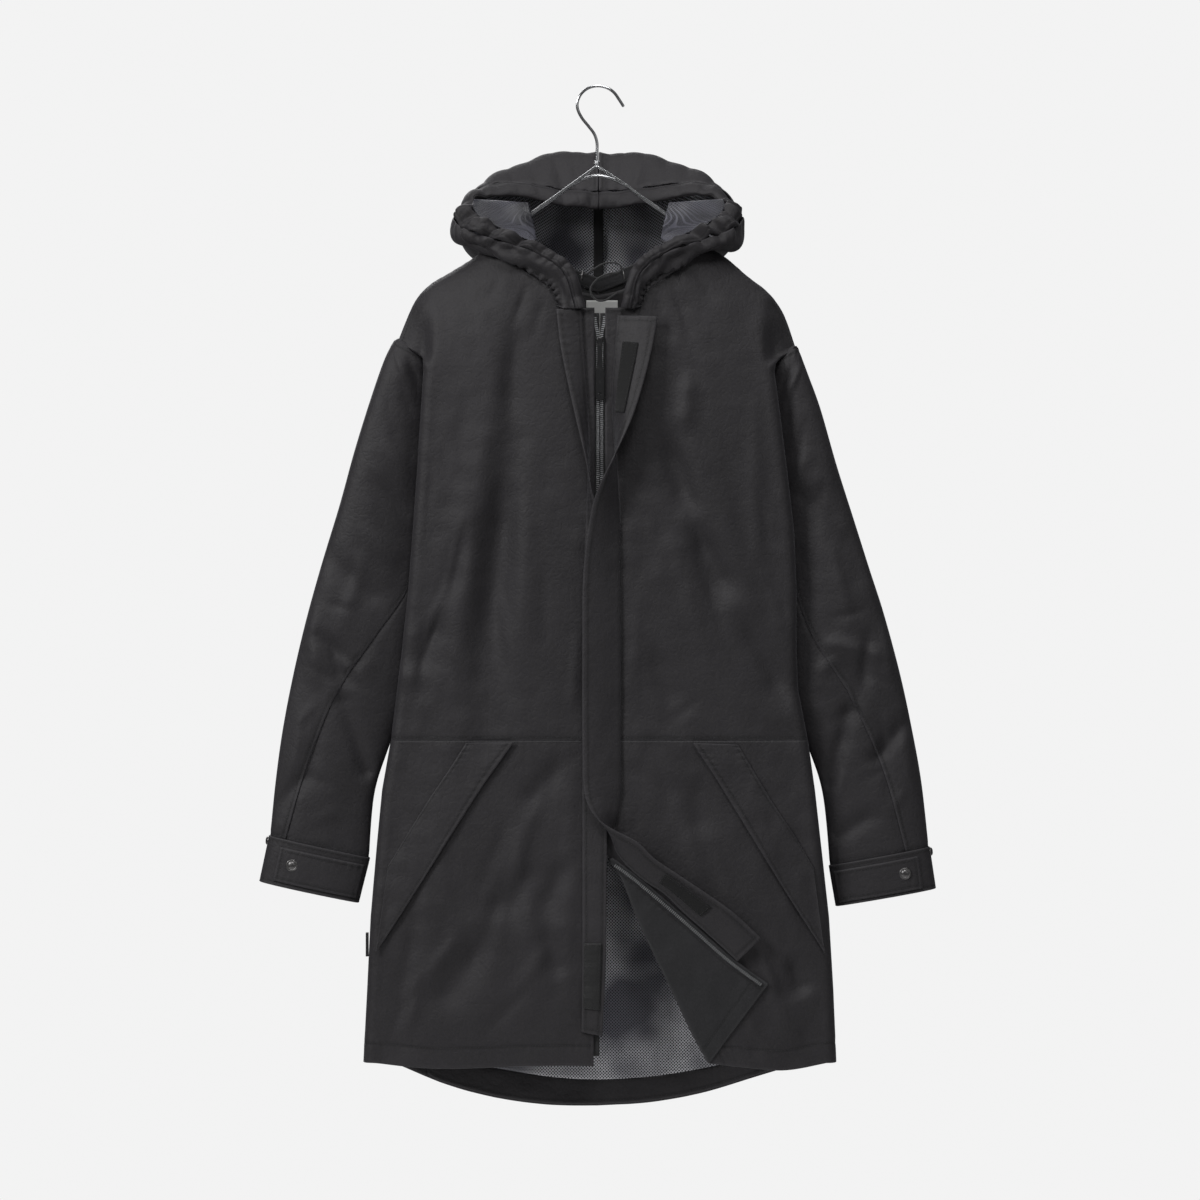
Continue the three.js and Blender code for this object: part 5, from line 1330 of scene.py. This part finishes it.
SNAP_PROFILE = [
    (0.0, 1.55), (1.6, 1.5), (3.0, 1.25), (3.9, 0.75), (4.3, 0.35), (4.7, 0.4), (5.3, 0.8), (6.1, 0.85),
    (6.7, 0.5), (7.0, -0.1), (6.9, -0.8), (6.2, -1.2), (0.0, -1.2),
]
SIDE_SNAP_PROFILE = [(0.0, 1.4), (2.0, 1.3), (3.6, 0.9), (4.6, 0.2), (4.8, -0.6), (0.0, -0.8)]
EYELET_PROFILE = [
    (2.4, 0.0), (2.6, -0.8), (3.3, -1.2), (4.6, -1.15), (5.6, -0.8), (6.0, 0.0), (5.6, 0.8), (4.6, 1.15),
    (3.3, 1.2), (2.6, 0.8), (2.4, 0.0),
]
EYELET_TILT = 0.2
SIDE_SNAP_AT = (0.985, 0.16)
SIDE_SNAP_OFF = 2.0
FASTENING_OFF = 2.3
FASTENING_THICK = 1.2


def centre_of(node):
    """The middle of a CAD node's box."""
    low, high = (np.array(p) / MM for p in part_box(node))
    return (low + high) / 2


def fasteners(nickel, hook, loop):
    """Snaps on the cuffs, eyelets for the drawcord and the fastening tapes on the flaps."""
    for name, sign in SIDES:
        at = centre_of("cuff_snap_" + name)
        made = turned("cuff_snap_%s_cap" % name, SNAP_PROFILE, at, tuple(FRONT_WAY), nickel)
        finish_piece(made, "cuff_snap_" + name)
        at = cuff_point(name, *(np.array(share) for share in SIDE_SNAP_AT), SIDE_SNAP_OFF)
        made = turned("cuff_side_snap_" + name, SIDE_SNAP_PROFILE, at, (sign, -0.35, 0.1), nickel, 28)
        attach(made, "parka")
        axis = (-math.cos(EYELET_TILT), 0, -sign * math.sin(EYELET_TILT))
        made = turned("eyelet_%s_ring" % name, EYELET_PROFILE, centre_of("eyelet_" + name), axis, nickel)
        finish_piece(made, "eyelet_" + name)
    flap = lambda s, v: flap_point(v, s)
    under = lambda s, v: under_flap_point(v, s)
    for name, point, s0, s1, v0, v1, material in (
        ("top", flap, 0.22, 0.62, 0.045, 0.15, hook),
        ("foot", flap, 0.3, 0.74, 0.82, 0.92, hook),
        ("under", under, 0.08, 0.8, 0.9, 0.965, loop),
    ):
        s = lerp(s0, s1, steps(24))[:, None]
        v = lerp(v0, v1, steps(60))[None]
        grid = on_flap(point, *np.broadcast_arrays(s, v), FASTENING_OFF)
        seams = [(side, 1.6, 0.12) for side in ("start", "end", "top", "foot")]
        piece(
            "fastening_tape_" + name, grid, FASTENING_THICK, material, FRONT_WAY, seams,
            seed=33,
        )


def on_flap(point, s, v, off):
    """A point that stands off a flap, square to it and to the front."""
    d = 0.02
    n = unit(np.cross(point(s + d, v) - point(s - d, v), point(s, v + d) - point(s, v - d)))
    n = np.where(n[..., 1:2] > 0, -n, n)
    return point(s, v) + n * off


SLIDER_RINGS = [
    (0.0, 0.0, 0.0), (0.0, 2.6, 1.6), (-0.5, 3.7, 2.6), (-1.6, 4.0, 3.0), (-4.0, 4.0, 3.0),
    (-7.0, 3.5, 2.9), (-10.5, 3.1, 2.7), (-12.4, 2.9, 2.3), (-13.0, 2.0, 1.4), (-13.0, 0.0, 0.0),
]
SLIDER_ROUND = 0.55
LOWER_SLIDER_DEEP = 0.43


def slider_body(name, node, metal, scale_y=1.0):
    """A zip slider: rounded oblongs that narrow downwards, closed at both ends."""
    low, high = (np.array(p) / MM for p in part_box(node))
    middle = (low + high) / 2
    turn = np.linspace(0, 2 * math.pi, 37)[:-1]
    c, s = (np.sign(wave) * np.abs(wave) ** SLIDER_ROUND for wave in (np.cos(turn), np.sin(turn)))
    grid = np.array([
        raised(middle[0] + wide * c, middle[1] + deep * scale_y * s, high[2] + dz)
        for dz, wide, deep in SLIDER_RINGS
    ])
    grid = np.concatenate([grid, grid[:, :1]], axis=1)
    made = add_mesh(name, grid, grid_faces(*grid.shape[:2]), metal, welded=True)
    finish_piece(made, node)


HOOK_STEPS = 220
ARM_STEPS = 700
ARM_SLOPE = 0.72
APEX_X = -1.7
APEX_Z = -90.6
UNDER_CLOTH = 3.9
SECOND_Y = 3.9
SECOND_DROP = 1.5
SECOND_Y_INSIDE = 0.6
SECOND_DROP_INSIDE = 5.4
SECOND_ARCH_Z = -101
ARM_OUT = [25, 52, 80, 100, 113, 131, 148, 171, 190]
ARM_END = 195.5
SPLIT = 0.4
ARM_UNDER_FROM = 85
ARM_UNDER_ALL = 105
TWIST_TURNS = 3.2
TWIST_RADIUS = 2.35
TWIST_WIRE = 0.95
TWIST_Z = (-84.6, -89.0)
TWIST_STEPS = 150


def arm_z(sign, out):
    """The wire's height: a straight slope from the knot, then a little below the shoulder cloth."""
    cloth = float(shoulder_z(np.array(sign * out, float))) - UNDER_CLOTH
    if out > ARM_UNDER_ALL:
        return cloth
    slope = APEX_Z - ARM_SLOPE * (out + APEX_X)
    return min(slope, cloth if out > ARM_UNDER_FROM else 0)


def hanger(steel):
    """The hook, the twist under it, and one wire out along each arm and back behind it."""
    made = tube("hanger_hook_wire", spaced(HOOK_PATH, HOOK_STEPS), WIRE / 2, 20, steel)
    finish_piece(made, "hanger_hook")
    turn = np.linspace(0, 2 * math.pi * TWIST_TURNS, TWIST_STEPS)
    down = np.linspace(*TWIST_Z, TWIST_STEPS)
    line = raised(APEX_X + TWIST_RADIUS * np.cos(turn), TWIST_RADIUS * np.sin(turn), down)
    made = tube("hanger_twist", line, TWIST_WIRE, 12, steel)
    finish_piece(made, "hanger_knot")
    inside = lambda o: float(smooth((o - 90) / 20))
    behind = lambda o: lerp(SECOND_Y, SECOND_Y_INSIDE, inside(o))
    drop = lambda o: lerp(SECOND_DROP, SECOND_DROP_INSIDE, inside(o))
    out = {}
    home = {}
    turns = {}
    for sign in (-1, 1):
        out[sign] = [(sign * o, 0, arm_z(sign, o)) for o in ARM_OUT]
        home[sign] = [(sign * o, behind(o), arm_z(sign, o) - drop(o)) for o in ARM_OUT[::-1]]
        end_z = arm_z(sign, ARM_END) - SECOND_DROP_INSIDE / 2
        turns[sign] = [(sign * ARM_END, SECOND_Y_INSIDE / 2, end_z)]
    loop = [(APEX_X - SPLIT, 0, APEX_Z)] + out[-1] + turns[-1] + home[-1]
    loop += [(APEX_X, SECOND_Y, SECOND_ARCH_Z)]
    loop += home[1][::-1] + turns[1] + out[1][::-1] + [(APEX_X + SPLIT, 0, APEX_Z)]
    made = tube("hanger_arm_wire", spaced(loop, ARM_STEPS), WIRE / 2, 16, steel)
    finish_piece(made, "hanger_arms")


CORD_DIAMETER = 2.2
CORD_STEPS = 260


def drawcord(braid):
    """The hood's cord: out of the left eyelet, over in an arch, and round into the right edge."""
    line = spaced(CORD_PATH, CORD_STEPS)
    made = tube("drawcord_braid", line, CORD_DIAMETER / 2, 14, braid)
    finish_piece(made, "drawcord")
    far = np.linalg.norm(np.diff(line, axis=0), axis=1).sum() * MM


# Materials.


class Nodes:
    """A material's node tree, with short calls to add and join nodes."""

    def __init__(self, name):
        self.material = bpy.data.materials.new(name)
        self.material.use_nodes = True
        self.tree = self.material.node_tree
        self.shader = self.tree.nodes["Principled BSDF"]

    def add(self, kind, inputs=None, **settings):
        """A new node, with its settings and its inputs."""
        node = self.tree.nodes.new(kind)
        for key, value in settings.items():
            setattr(node, key, value)
        for key, value in (inputs or {}).items():
            self.put(node.inputs[key], value)
        return node

    def put(self, socket, value):
        """Joins another node's output to a socket, or sets the socket's own value."""
        if hasattr(value, "links"):
            self.tree.links.new(value, socket)
        else:
            socket.default_value = value

    def set(self, **values):
        """Sets inputs of the material's shader, by their names."""
        for key, value in values.items():
            self.put(self.shader.inputs[key.replace("_", " ")], value)

    def uv(self, scale, turn=0.0):
        """Places on the cloth, scaled and turned. A scale may differ from axis to axis."""
        source = self.add("ShaderNodeUVMap", uv_map="cloth").outputs["UV"]
        scale = scale if isinstance(scale, tuple) else (scale,) * 3
        place = {"Vector": source, "Rotation": (0, 0, turn), "Scale": scale}
        return self.add("ShaderNodeMapping", place).outputs["Vector"]

    def spot(self, scale):
        """Places in the object's own space, scaled."""
        source = self.add("ShaderNodeTexCoord").outputs["Object"]
        place = self.add("ShaderNodeMapping", {"Vector": source, "Scale": (scale,) * 3})
        return place.outputs["Vector"]

    def noise(self, vector, detail=3.0):
        """Noise from 0 to 1, its patches about one unit wide."""
        inputs = {"Vector": vector, "Scale": 1.0, "Detail": detail}
        return self.add("ShaderNodeTexNoise", inputs).outputs["Fac"]

    def bands(self, vector, direction="X", warp=0.0):
        """Bands one unit apart, from 0 to 1."""
        inputs = {"Vector": vector, "Scale": math.pi / 10, "Distortion": warp}
        wave = self.add("ShaderNodeTexWave", inputs, wave_type="BANDS", bands_direction=direction)
        return wave.outputs["Fac"]

    def sum(self, kind, a, b):
        """One step of arithmetic on two values."""
        return self.add("ShaderNodeMath", {0: a, 1: b}, operation=kind).outputs[0]

    def ramp(self, value, low, high):
        """A value mapped from the range low to high onto 0 to 1."""
        node = self.add("ShaderNodeMapRange", {"Value": value, "From Min": low, "From Max": high})
        return node.outputs["Result"]

    def mix(self, share, a, b):
        """A blend of two colours."""
        node = self.add("ShaderNodeMix", data_type="RGBA")
        self.put(node.inputs[0], share)
        self.put(node.inputs[6], a)
        self.put(node.inputs[7], b)
        return node.outputs[2]

    def mark(self, name):
        """A mark that the mesh carries at its points."""
        return self.add("ShaderNodeAttribute", attribute_name=name).outputs["Fac"]

    def bump(self, *layers):
        """Bumps one on another, each a height, its strength and its depth in metres."""
        normal = None
        for height, strength, depth in layers:
            inputs = {"Height": height, "Strength": strength, "Distance": depth}
            if normal is not None:
                inputs["Normal"] = normal
            normal = self.add("ShaderNodeBump", inputs).outputs["Normal"]
        self.put(self.shader.inputs["Normal"], normal)


def scaled(colour, share):
    """A colour made lighter or darker, with its alpha."""
    return (*(share * c for c in colour), 1)


def weave(n, pitch):
    """Plain weave: warp and weft bands, the higher of the two at each place."""
    place = n.uv(1 / (pitch * MM))
    return n.sum("MAXIMUM", n.bands(place, "X"), n.bands(place, "Y"))


SLUB_SCALE = (900.0, 60.0, 1.0)


def shell_cloth(name, dark, light, worn):
    """Fine plain weave, charcoal, with painted shade along its seam lines and a little greyer along worn
    edges.
    """
    n = Nodes(name)
    threads = weave(n, 0.55)
    large = n.noise(n.spot(9.0), detail=4.0)
    fine = n.noise(n.spot(420.0), detail=2.0)
    slub = n.noise(n.uv(SLUB_SCALE))
    colour = n.mix(n.ramp(large, 0.3, 0.7), (*dark, 1), (*light, 1))
    colour = n.mix(n.sum("MULTIPLY", n.ramp(fine, 0.35, 0.75), 0.35), colour, scaled(light, 1.5))
    colour = n.mix(n.sum("MULTIPLY", threads, 0.22), colour, scaled(dark, 0.55))
    # Painted shade: the colour darkens along the seam mark, where the seams' grooves lie.
    colour = n.mix(n.sum("MULTIPLY", n.mark("seam"), 0.62), colour, scaled(dark, 0.28))
    colour = n.mix(n.sum("MULTIPLY", n.mark("worn"), 0.45), colour, (*worn, 1))
    n.set(Base_Color=colour, Roughness=n.sum("ADD", 0.52, n.sum("MULTIPLY", large, 0.2)))
    n.set(Sheen_Weight=0.12, Sheen_Roughness=0.45, Sheen_Tint=(0.62, 0.62, 0.68, 1))
    n.set(Specular_IOR_Level=0.42)
    crease = n.noise(n.spot(38.0), detail=5.0)
    crinkle = n.sum("SUBTRACT", n.noise(n.spot(120.0), detail=1.0), 0.5)
    crinkle = n.ramp(n.sum("ABSOLUTE", crinkle, 0.0), 0.0, 0.12)
    n.bump(
        (crease, 0.4, 0.0030), (crinkle, 0.2, 0.0008), (slub, 0.25, 0.0002), (threads, 0.3, 0.00012),
        (fine, 0.2, 0.0001),
    )
    return n.material


def net_cloth(name, dark, light, pitch):
    """Knitted net: two sets of slanted strands over a dark ground, with painted sheen highlights in soft
    patches where the strands take a lighter colour.
    """
    n = Nodes(name)
    place = n.uv(1 / (pitch * MM), math.radians(45))
    strands = n.sum("MAXIMUM", n.bands(place, "X", 0.4), n.bands(place, "Y", 0.4))
    net = n.ramp(strands, 0.62, 0.9)
    large = n.noise(n.spot(16.0), detail=1.5)
    # Painted sheen highlights: soft patches of the lighter tone on the strands.
    sheened_strand = n.mix(n.ramp(large, 0.36, 0.68), (*dark, 1), (*light, 1))
    n.set(Base_Color=n.mix(net, (0.012, 0.012, 0.016, 1), sheened_strand), Roughness=0.36)
    n.set(Sheen_Weight=0.35, Sheen_Roughness=0.3, Sheen_Tint=(0.8, 0.8, 0.95, 1))
    n.bump((n.noise(n.spot(60.0), detail=4.0), 0.3, 0.002), (net, 0.6, 0.0004))
    return n.material


def tape_cloth(name, colour, pitch, rough, coat=0.0):
    """Woven tape: close ribs, with fine fibres over them."""
    n = Nodes(name)
    ribs = n.bands(n.uv(1 / (pitch * MM)), "Y")
    fibres = n.noise(n.spot(900.0), detail=3.0)
    tone = n.mix(n.ramp(fibres, 0.3, 0.8), scaled(colour, 0.6), scaled(colour, 1.7))
    tone = n.mix(n.sum("MULTIPLY", ribs, 0.35), tone, scaled(colour, 0.4))
    n.set(Base_Color=tone, Roughness=rough, Coat_Weight=coat, Coat_Roughness=0.35, Sheen_Weight=0.15)
    n.bump((ribs, 0.5, 0.0002), (fibres, 0.6, 0.0004))
    return n.material


def white_cloth():
    """The neck label: white plain weave, slightly uneven."""
    n = Nodes("white_label_cloth")
    threads = weave(n, 0.5)
    stain = n.noise(n.spot(30.0), detail=3.0)
    tone = n.mix(n.ramp(stain, 0.3, 0.8), (0.78, 0.78, 0.76, 1), (0.86, 0.86, 0.85, 1))
    n.set(Base_Color=n.mix(n.sum("MULTIPLY", threads, 0.2), tone, (0.6, 0.6, 0.59, 1)), Roughness=0.55)
    n.bump((threads, 0.5, 0.0001))
    return n.material


def metal(name, colour, rough, grain):
    """Polished or plated metal: faint draw lines and small changes of gloss."""
    n = Nodes(name)
    lines = n.noise(n.spot(140.0), detail=5.0)
    fine = n.noise(n.spot(900.0), detail=2.0)
    tone = n.mix(n.ramp(lines, 0.3, 0.7), scaled(colour, 0.88), scaled(colour, 1))
    n.set(Base_Color=tone, Metallic=1.0, Roughness=n.sum("ADD", rough, n.sum("MULTIPLY", lines, grain)))
    n.bump((fine, 0.12, 0.00005))
    return n.material


def dark_enamel():
    """Black enamel on the zip's slider and pull, a little worn."""
    n = Nodes("black_enamel")
    worn = n.ramp(n.noise(n.spot(300.0), detail=5.0), 0.6, 0.75)
    n.set(Base_Color=n.mix(worn, (0.014, 0.014, 0.015, 1), (0.05, 0.05, 0.05, 1)), Roughness=0.32)
    n.set(Coat_Weight=0.4, Coat_Roughness=0.2)
    n.bump((worn, 0.2, 0.00005))
    return n.material


def cord_braid():
    """A round braid: two sets of strands that cross on a slant."""
    n = Nodes("drawcord_braid")
    place = n.uv(1 / (1.1 * MM), math.radians(38))
    strands = n.sum("MAXIMUM", n.bands(place, "X"), n.bands(place, "Y"))
    n.set(Base_Color=n.mix(strands, (0.006, 0.006, 0.006, 1), (0.028, 0.028, 0.03, 1)))
    n.set(Roughness=0.6, Sheen_Weight=0.2)
    n.bump((strands, 0.8, 0.0003))
    return n.material


def thread_material():
    """Twisted black thread."""
    n = Nodes("sewing_thread")
    twist = n.noise(n.spot(1500.0), detail=2.0)
    n.set(Base_Color=n.mix(twist, (0.008, 0.008, 0.009, 1), (0.032, 0.032, 0.034, 1)), Roughness=0.45)
    n.bump((twist, 0.3, 0.0001))
    return n.material


# The stage.

CAMERA_AT = (0.0017, -5.0, -0.5896)
CAMERA_LENS = 130.4
SENSOR = 36.0


def camera():
    """The photo's camera: level, five metres in front, with a long lens."""
    made = bpy.data.cameras.new("camera")
    made.sensor_width = SENSOR
    made.sensor_height = SENSOR
    made.sensor_fit = "HORIZONTAL"
    made.lens = CAMERA_LENS
    obj = bpy.data.objects.new("camera", made)
    obj.location = CAMERA_AT
    obj.rotation_euler = (math.pi / 2, 0, 0)
    bpy.context.scene.collection.objects.link(obj)
    bpy.context.scene.camera = obj


FLOOR_Z = -1.62
FLOOR_HALF = 1.4
SKY_SHOWN = 0.895
SKY_LIGHT = 0.08


def plaster(name, tone):
    """Pale paint, nearly even and without shine."""
    n = Nodes(name)
    grain = n.noise(n.spot(12.0), detail=2.0)
    n.set(Base_Color=n.mix(grain, (*(tone,) * 3, 1), (*(tone + 0.01,) * 3, 1)), Roughness=0.95)
    n.set(Specular_IOR_Level=0.1)
    return n.material


def plane(name, corners, material):
    """A flat surface of the stage."""
    mesh = bpy.data.meshes.new(name)
    mesh.from_pydata(corners, [], [(0, 1, 2, 3)])
    mesh.materials.append(material)
    made = bpy.data.objects.new(name, mesh)
    bpy.context.scene.collection.objects.link(made)


def area_light(name, at, aim, size, power):
    """A rectangular white light that faces a point."""
    made = bpy.data.lights.new(name, "AREA")
    made.shape = "RECTANGLE"
    made.size, made.size_y = size
    made.energy = power
    obj = bpy.data.objects.new(name, made)
    obj.location = at
    obj.rotation_euler = (Vector(aim) - Vector(at)).to_track_quat("-Z", "Y").to_euler()
    bpy.context.scene.collection.objects.link(obj)


def stage():
    """A pale floor under the object, a soft key from the upper left, a fill from the right, and a
    pale sky that lights less than it shows."""
    f = FLOOR_HALF
    corners = [(a * f, b * f, FLOOR_Z) for a, b in ((-1, -1), (1, -1), (1, 1), (-1, 1))]
    plane("floor", corners, plaster("pale_paint", 0.86))
    middle = (0, 0, -0.6)
    area_light("key", (-2.6, -2.3, 1.2), middle, (1.2, 1.2), 66)
    area_light("front", (0.25, -2.6, 1.9), (0, 0, -0.35), (0.9, 0.9), 24)
    area_light("fill", (2.3, -2.8, 0.2), middle, (2.2, 2.2), 7)
    area_light("rear", (-0.8, 2.4, 1.2), middle, (2.2, 2.2), 40)
    area_light("top", (0.2, -0.6, 1.9), (0, 0, -0.3), (1.6, 0.8), 14)
    world = bpy.data.worlds.new("sky")
    world.use_nodes = True
    tree = world.node_tree
    path = tree.nodes.new("ShaderNodeLightPath")
    share = tree.nodes.new("ShaderNodeMapRange")
    share.inputs["To Min"].default_value = SKY_LIGHT
    share.inputs["To Max"].default_value = SKY_SHOWN
    background = tree.nodes["Background"]
    background.inputs["Color"].default_value = (1, 1, 1, 1)
    tree.links.new(path.outputs["Is Camera Ray"], share.inputs["Value"])
    tree.links.new(share.outputs["Result"], background.inputs["Strength"])
    bpy.context.scene.world = world
    bpy.context.scene.view_settings.view_transform = "Standard"


# Tones of the cloths and metals, dark to light: red, green and blue in linear light.
SHELL_TONES = ((0.0232, 0.0214, 0.0238), (0.0315, 0.0292, 0.0325), (0.056, 0.053, 0.058))
FACING_TONES = ((0.018, 0.018, 0.0195), (0.025, 0.0245, 0.027), (0.05, 0.05, 0.052))
# The net comes in two copies: a lit one, painted bright for the light that falls inside the linings, and a
# shaded one for the lapels, painted dark for their shade. The lighter tone of each paints soft sheen
# highlights.
LIT_NET_TONES = ((0.16, 0.16, 0.19), (0.95, 0.95, 1.0))
SHADED_NET_TONES = ((0.03, 0.03, 0.037), (0.16, 0.16, 0.2))
NET_PITCH = 2.6
SIDE_NET_PITCH = 3.0
BINDING_TONE = (0.012, 0.012, 0.013)
ZIP_TAPE_TONE = (0.016, 0.016, 0.017)
FASTENING_TONE = (0.006, 0.006, 0.0065)
STEEL_TONE = (0.74, 0.75, 0.77)
NICKEL_TONE = (0.2, 0.195, 0.195)
ZIP_METAL_TONE = (0.86, 0.87, 0.89)


def main():
    """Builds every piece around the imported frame, dresses it and sets the stage."""
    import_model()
    camera()
    shell = shell_cloth("shell_cloth", *SHELL_TONES)
    net = net_cloth("net_lining", *LIT_NET_TONES, NET_PITCH)
    shaded_net = net_cloth("shaded_net", *SHADED_NET_TONES, SIDE_NET_PITCH)
    facing = shell_cloth("facing_cloth", *FACING_TONES)
    band = tape_cloth("binding_tape", BINDING_TONE, 1.2, 0.55)
    zip_band = tape_cloth("zip_tape_cloth", ZIP_TAPE_TONE, 0.9, 0.7)
    hook = tape_cloth("hook_tape", FASTENING_TONE, 1.6, 0.9)
    loop = tape_cloth("loop_tape", FASTENING_TONE, 1.6, 0.5, 0.15)
    steel = metal("polished_steel", STEEL_TONE, 0.12, 0.1)
    nickel = metal("nickel_plate", NICKEL_TONE, 0.3, 0.14)
    teeth = metal("zip_metal", ZIP_METAL_TONE, 0.3, 0.1)
    enamel = dark_enamel()
    label = white_cloth()
    drawcord(cord_braid())
    fronts(shell)
    back(shell, net)
    sleeves(shell)
    cuffs(shell)
    pocket_flaps(shell)
    flaps(shell)
    turned_corner(facing)
    zip_tapes(zip_band)
    zip_teeth(teeth)
    hood(shell, net, shaded_net, band)
    neck_inside(facing, label)
    fasteners(nickel, hook, loop)
    slider_body("zip_slider_body", "zip_slider", enamel)
    slider_body("zip_lower_slider_body", "zip_slider_lower", teeth, LOWER_SLIDER_DEEP)
    hanger(steel)
    stitched = sewing(thread_material())
    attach(stitched, "parka")
    for node, material in (("zip_pull", enamel), ("side_tab", band)):
        for place in bpy.data.objects[node].material_slots:
            place.material = material
    stage()


main()
